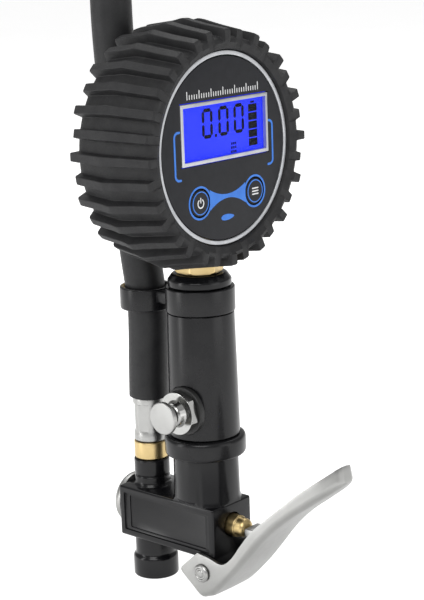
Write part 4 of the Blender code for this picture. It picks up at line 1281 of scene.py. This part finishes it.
def add_buttons():
    """The two buttons, each with a blue ring and a generic mark."""
    low, high = 12.9, 13.0
    line = 0.42
    for name, (x, y) in BUTTONS.items():
        place = HEAD @ at(x, y, 0)
        body = f"{name}_button"
        outline = [(0, 12.96), (3.4, 13.0, 0.4), (4.3, 12.75, 0.3), (4.3, 11.0), (0, 11.0)]
        turned(f"{name}_button_skin", outline, BUTTON, place, [body], body, 72)
        outer, inner = (arc((0, 0), radius, 0, 360, 64)[:-1] for radius in (3.75, 3.4))
        ring = bmesh.new()
        ring_shape(ring, outer, inner, 12.8, 12.99)
        mesh = mesh_of(ring, place)
        piece(f"{name}_button_ring", mesh, BLUE_INK, body, sharp=INK_ANGLE)
        icon = bmesh.new()
        if name == "on":
            ribbon(icon, arc((0, -0.15), 1.35, 125, 415, 28), line, low, high)
            ribbon(icon, [(0, 0.2), (0, 1.6)], line, low, high)
        else:
            for height in (-0.95, 0.0, 0.95):
                ribbon(icon, [(-1.4, height), (1.4, height)], line, low, high)
        piece(f"{name}_icon", mesh_of(icon, place), WHITE_INK, body, sharp=INK_ANGLE)


SEGMENTS = {  # of a digit, as their ends on a grid that is 1 wide and 2 tall
    "top": ((0, 2), (1, 2)),
    "middle": ((0, 1), (1, 1)),
    "bottom": ((0, 0), (1, 0)),
    "upper_left": ((0, 1), (0, 2)),
    "upper_right": ((1, 1), (1, 2)),
    "lower_left": ((0, 0), (0, 1)),
    "lower_right": ((1, 0), (1, 1)),
}


DIGIT_SIZE = (5.0, 9.4)
DIGIT_LINE = 1.15
SEGMENT_GAP = 0.14
LIT = (11.38, 11.46)  # the heights between which the screen's dark cells lie
DIGITS_X, DIGITS_Y = (-8.9, -1.2, 6.2), 3.8
BATTERY_X, BATTERY_CELLS = (13.4, 17.6), 5


def add_digit(bm, x, y, names):
    """Adds those segments of a digit whose lower left corner is at x, y."""
    width, height = DIGIT_SIZE
    half = DIGIT_LINE / 2
    for name in names:
        start, end = (
            Vector(
                (
                    x + half + across * (width - DIGIT_LINE),
                    y + half + up * (height - DIGIT_LINE) / 2,
                )
            )
            for across, up in SEGMENTS[name]
        )
        along = (end - start).normalized()
        side = Vector((-along.y, along.x)) * half
        first, last = start + along * SEGMENT_GAP, end - along * SEGMENT_GAP
        inner, outer = first + along * half, last - along * half
        outline = [first, inner - side, outer - side, last, outer + side, inner + side]
        add_plate(bm, outline, *LIT)


def add_cell(bm, x, y, width, height):
    """Adds a dark rectangle whose lower left corner is at x, y."""
    corners = [(x, y), (x + width, y), (x + width, y + height), (x, y + height)]
    add_plate(bm, corners, *LIT)


def add_screen():
    """The lit display, its clear lens, and what the display shows: 0.00 and a full battery."""
    display = block((43.5, 21.6, 2.2), (SCREEN_X, SCREEN_Y, 10.3), 0.2, 2, HEAD)
    piece("display_skin", display, SCREEN, "body", ["display"])
    lens = block((38.6, 16.2, 0.8), (SCREEN_X, SCREEN_Y, 12.2), 0.1, 2, HEAD)
    piece("lens_skin", lens, LENS, "body", ["screen_lens"])
    bm = bmesh.new()
    zero = [name for name in SEGMENTS if name != "middle"]
    for x in DIGITS_X:
        add_digit(bm, x, DIGITS_Y, zero)
    add_cell(bm, -3.0, DIGITS_Y, 1.0, 1.0)
    left, right = BATTERY_X
    for k in range(BATTERY_CELLS):
        add_cell(bm, left, -1.0 + 2.75 * k, right - left, 2.35)
    add_cell(bm, 14.6, 12.7, 1.8, 0.6)
    for row in range(3):
        for column in range(3):
            add_cell(bm, 4.6 + 0.95 * column, 0.4 - 1.3 * row, 0.6, 0.8)
    piece("screen_segments", mesh_of(bm, HEAD), SEGMENT, "body", sharp=INK_ANGLE)


# Pieces of the CAD frame that stay, with their finishes

KEPT = {
    "circuit_board": BOARD,
    "battery_1": JACKET,
    "battery_2": JACKET,
    "on_switch": SILVER,
    "function_switch": SILVER,
    "pressure_sensor": SILVER,
    "stem_lock_nut": BRASS,
    "plunger_bush": BRASS,
    "plunger_seal": SEAL,
    "valve_seat": BRASS,
    "poppet": SEAL,
}


def dress_kept():
    for name, material in KEPT.items():
        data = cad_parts[name].data
        data.materials.clear()
        data.materials.append(material)


# Stage and light

FLOOR_Z = -0.11
FLOOR_RADIUS = 9
# The floor's own light rises with the distance in metres from its middle, so that the background is
# white and the object isn't lit much from below.
GLOW_DISTANCES = (0.12, 0.4)
GLOWS = (0.02, 0.56)
# A pale horizon, as a studio's sweep has, under a dimmer room: (height of the direction, grey)
WORLD_GREYS = ((0.0, 0.95), (0.07, 0.95), (0.2, 0.28), (0.75, 0.5))
LIGHTS = (  # name, place, what it points at, size, watts
    ("key", (-1.0, -0.5, 1.1), (0, -0.02, 0.12), (0.9, 0.9), 9),
    ("fill", (0.25, -1.3, 0.35), (0, -0.02, 0.12), (0.8, 1.0), 2.5),
    ("strip", (-0.9, 0.55, 0.3), (0, -0.02, 0.12), (0.25, 1.1), 3),
    ("floor_wash", (0.7, 0.8, 1.6), (0.7, 0.8, 0), (1.6, 1.6), 16),
)


def add_stage():
    """A pale floor under the object, which glows further out."""
    bm = bmesh.new()
    bmesh.ops.create_circle(bm, cap_ends=True, segments=96, radius=FLOOR_RADIUS)
    mesh = mesh_of(bm)
    paper = finish(
        "pale_paper",
        (0.86, 0.86, 0.86),
        (0.9, 0.9, 0.9),
        (0.8, 0.9),
        grain=60,
        bump=0,
        Emission_Color=(1, 1, 1, 1),
    )
    tree = paper.node_tree
    far = add_node(tree, "ShaderNodeVectorMath", operation="LENGTH")
    tree.links.new(tree.nodes["Texture Coordinate"].outputs["Object"], far.inputs[0])
    glow = map_range(tree, far.outputs["Value"], GLOW_DISTANCES, GLOWS)
    tree.links.new(glow, tree.nodes["Principled BSDF"].inputs["Emission Strength"])
    mesh.materials.append(paper)
    mesh.shade_smooth()
    floor = linked("floor", mesh)
    floor.matrix_world = Matrix.Translation((0, 0, FLOOR_Z))


def add_light(name, place, target, size, power):
    """A soft rectangular light."""
    data = bpy.data.lights.new(name, "AREA")
    data.shape = "RECTANGLE"
    data.size, data.size_y = size
    data.energy = power
    light = linked(name, data)
    turn = (Vector(target) - Vector(place)).to_track_quat("-Z", "Y").to_matrix().to_4x4()
    light.matrix_world = Matrix.Translation(place) @ turn


def light_scene():
    """The room's grey, from the floor up, and the soft lights."""
    world = bpy.data.worlds.new("studio")
    bpy.context.scene.world = world
    world.use_nodes = True
    tree = world.node_tree
    sky = tree.nodes["Background"]
    sky.inputs["Strength"].default_value = 1.0
    place = add_node(tree, "ShaderNodeTexCoord")
    apart = add_node(tree, "ShaderNodeSeparateXYZ")
    band = add_node(tree, "ShaderNodeValToRGB")
    stops = band.color_ramp.elements
    for height, _ in WORLD_GREYS[1:-1]:
        stops.new(height)
    for stop, (height, grey) in zip(stops, WORLD_GREYS):
        stop.position = height
        stop.color = (grey, grey, grey, 1)
    tree.links.new(place.outputs["Generated"], apart.inputs["Vector"])
    tree.links.new(apart.outputs["Z"], band.inputs["Fac"])
    tree.links.new(band.outputs["Color"], sky.inputs["Color"])
    for light in LIGHTS:
        add_light(*light)
    view = bpy.context.scene.view_settings
    view.view_transform = "Standard"
    view.look = "None"


def main():
    add_hose()
    add_hose_fitting()
    add_valve_body()
    add_valve_parts()
    add_lever()
    add_handle()
    add_clip()
    add_bleed_valve()
    add_boot()
    add_stem()
    add_case()
    add_face()
    add_blue_print()
    add_scale_marks()
    add_buttons()
    add_screen()
    dress_kept()
    add_stage()
    light_scene()


main()
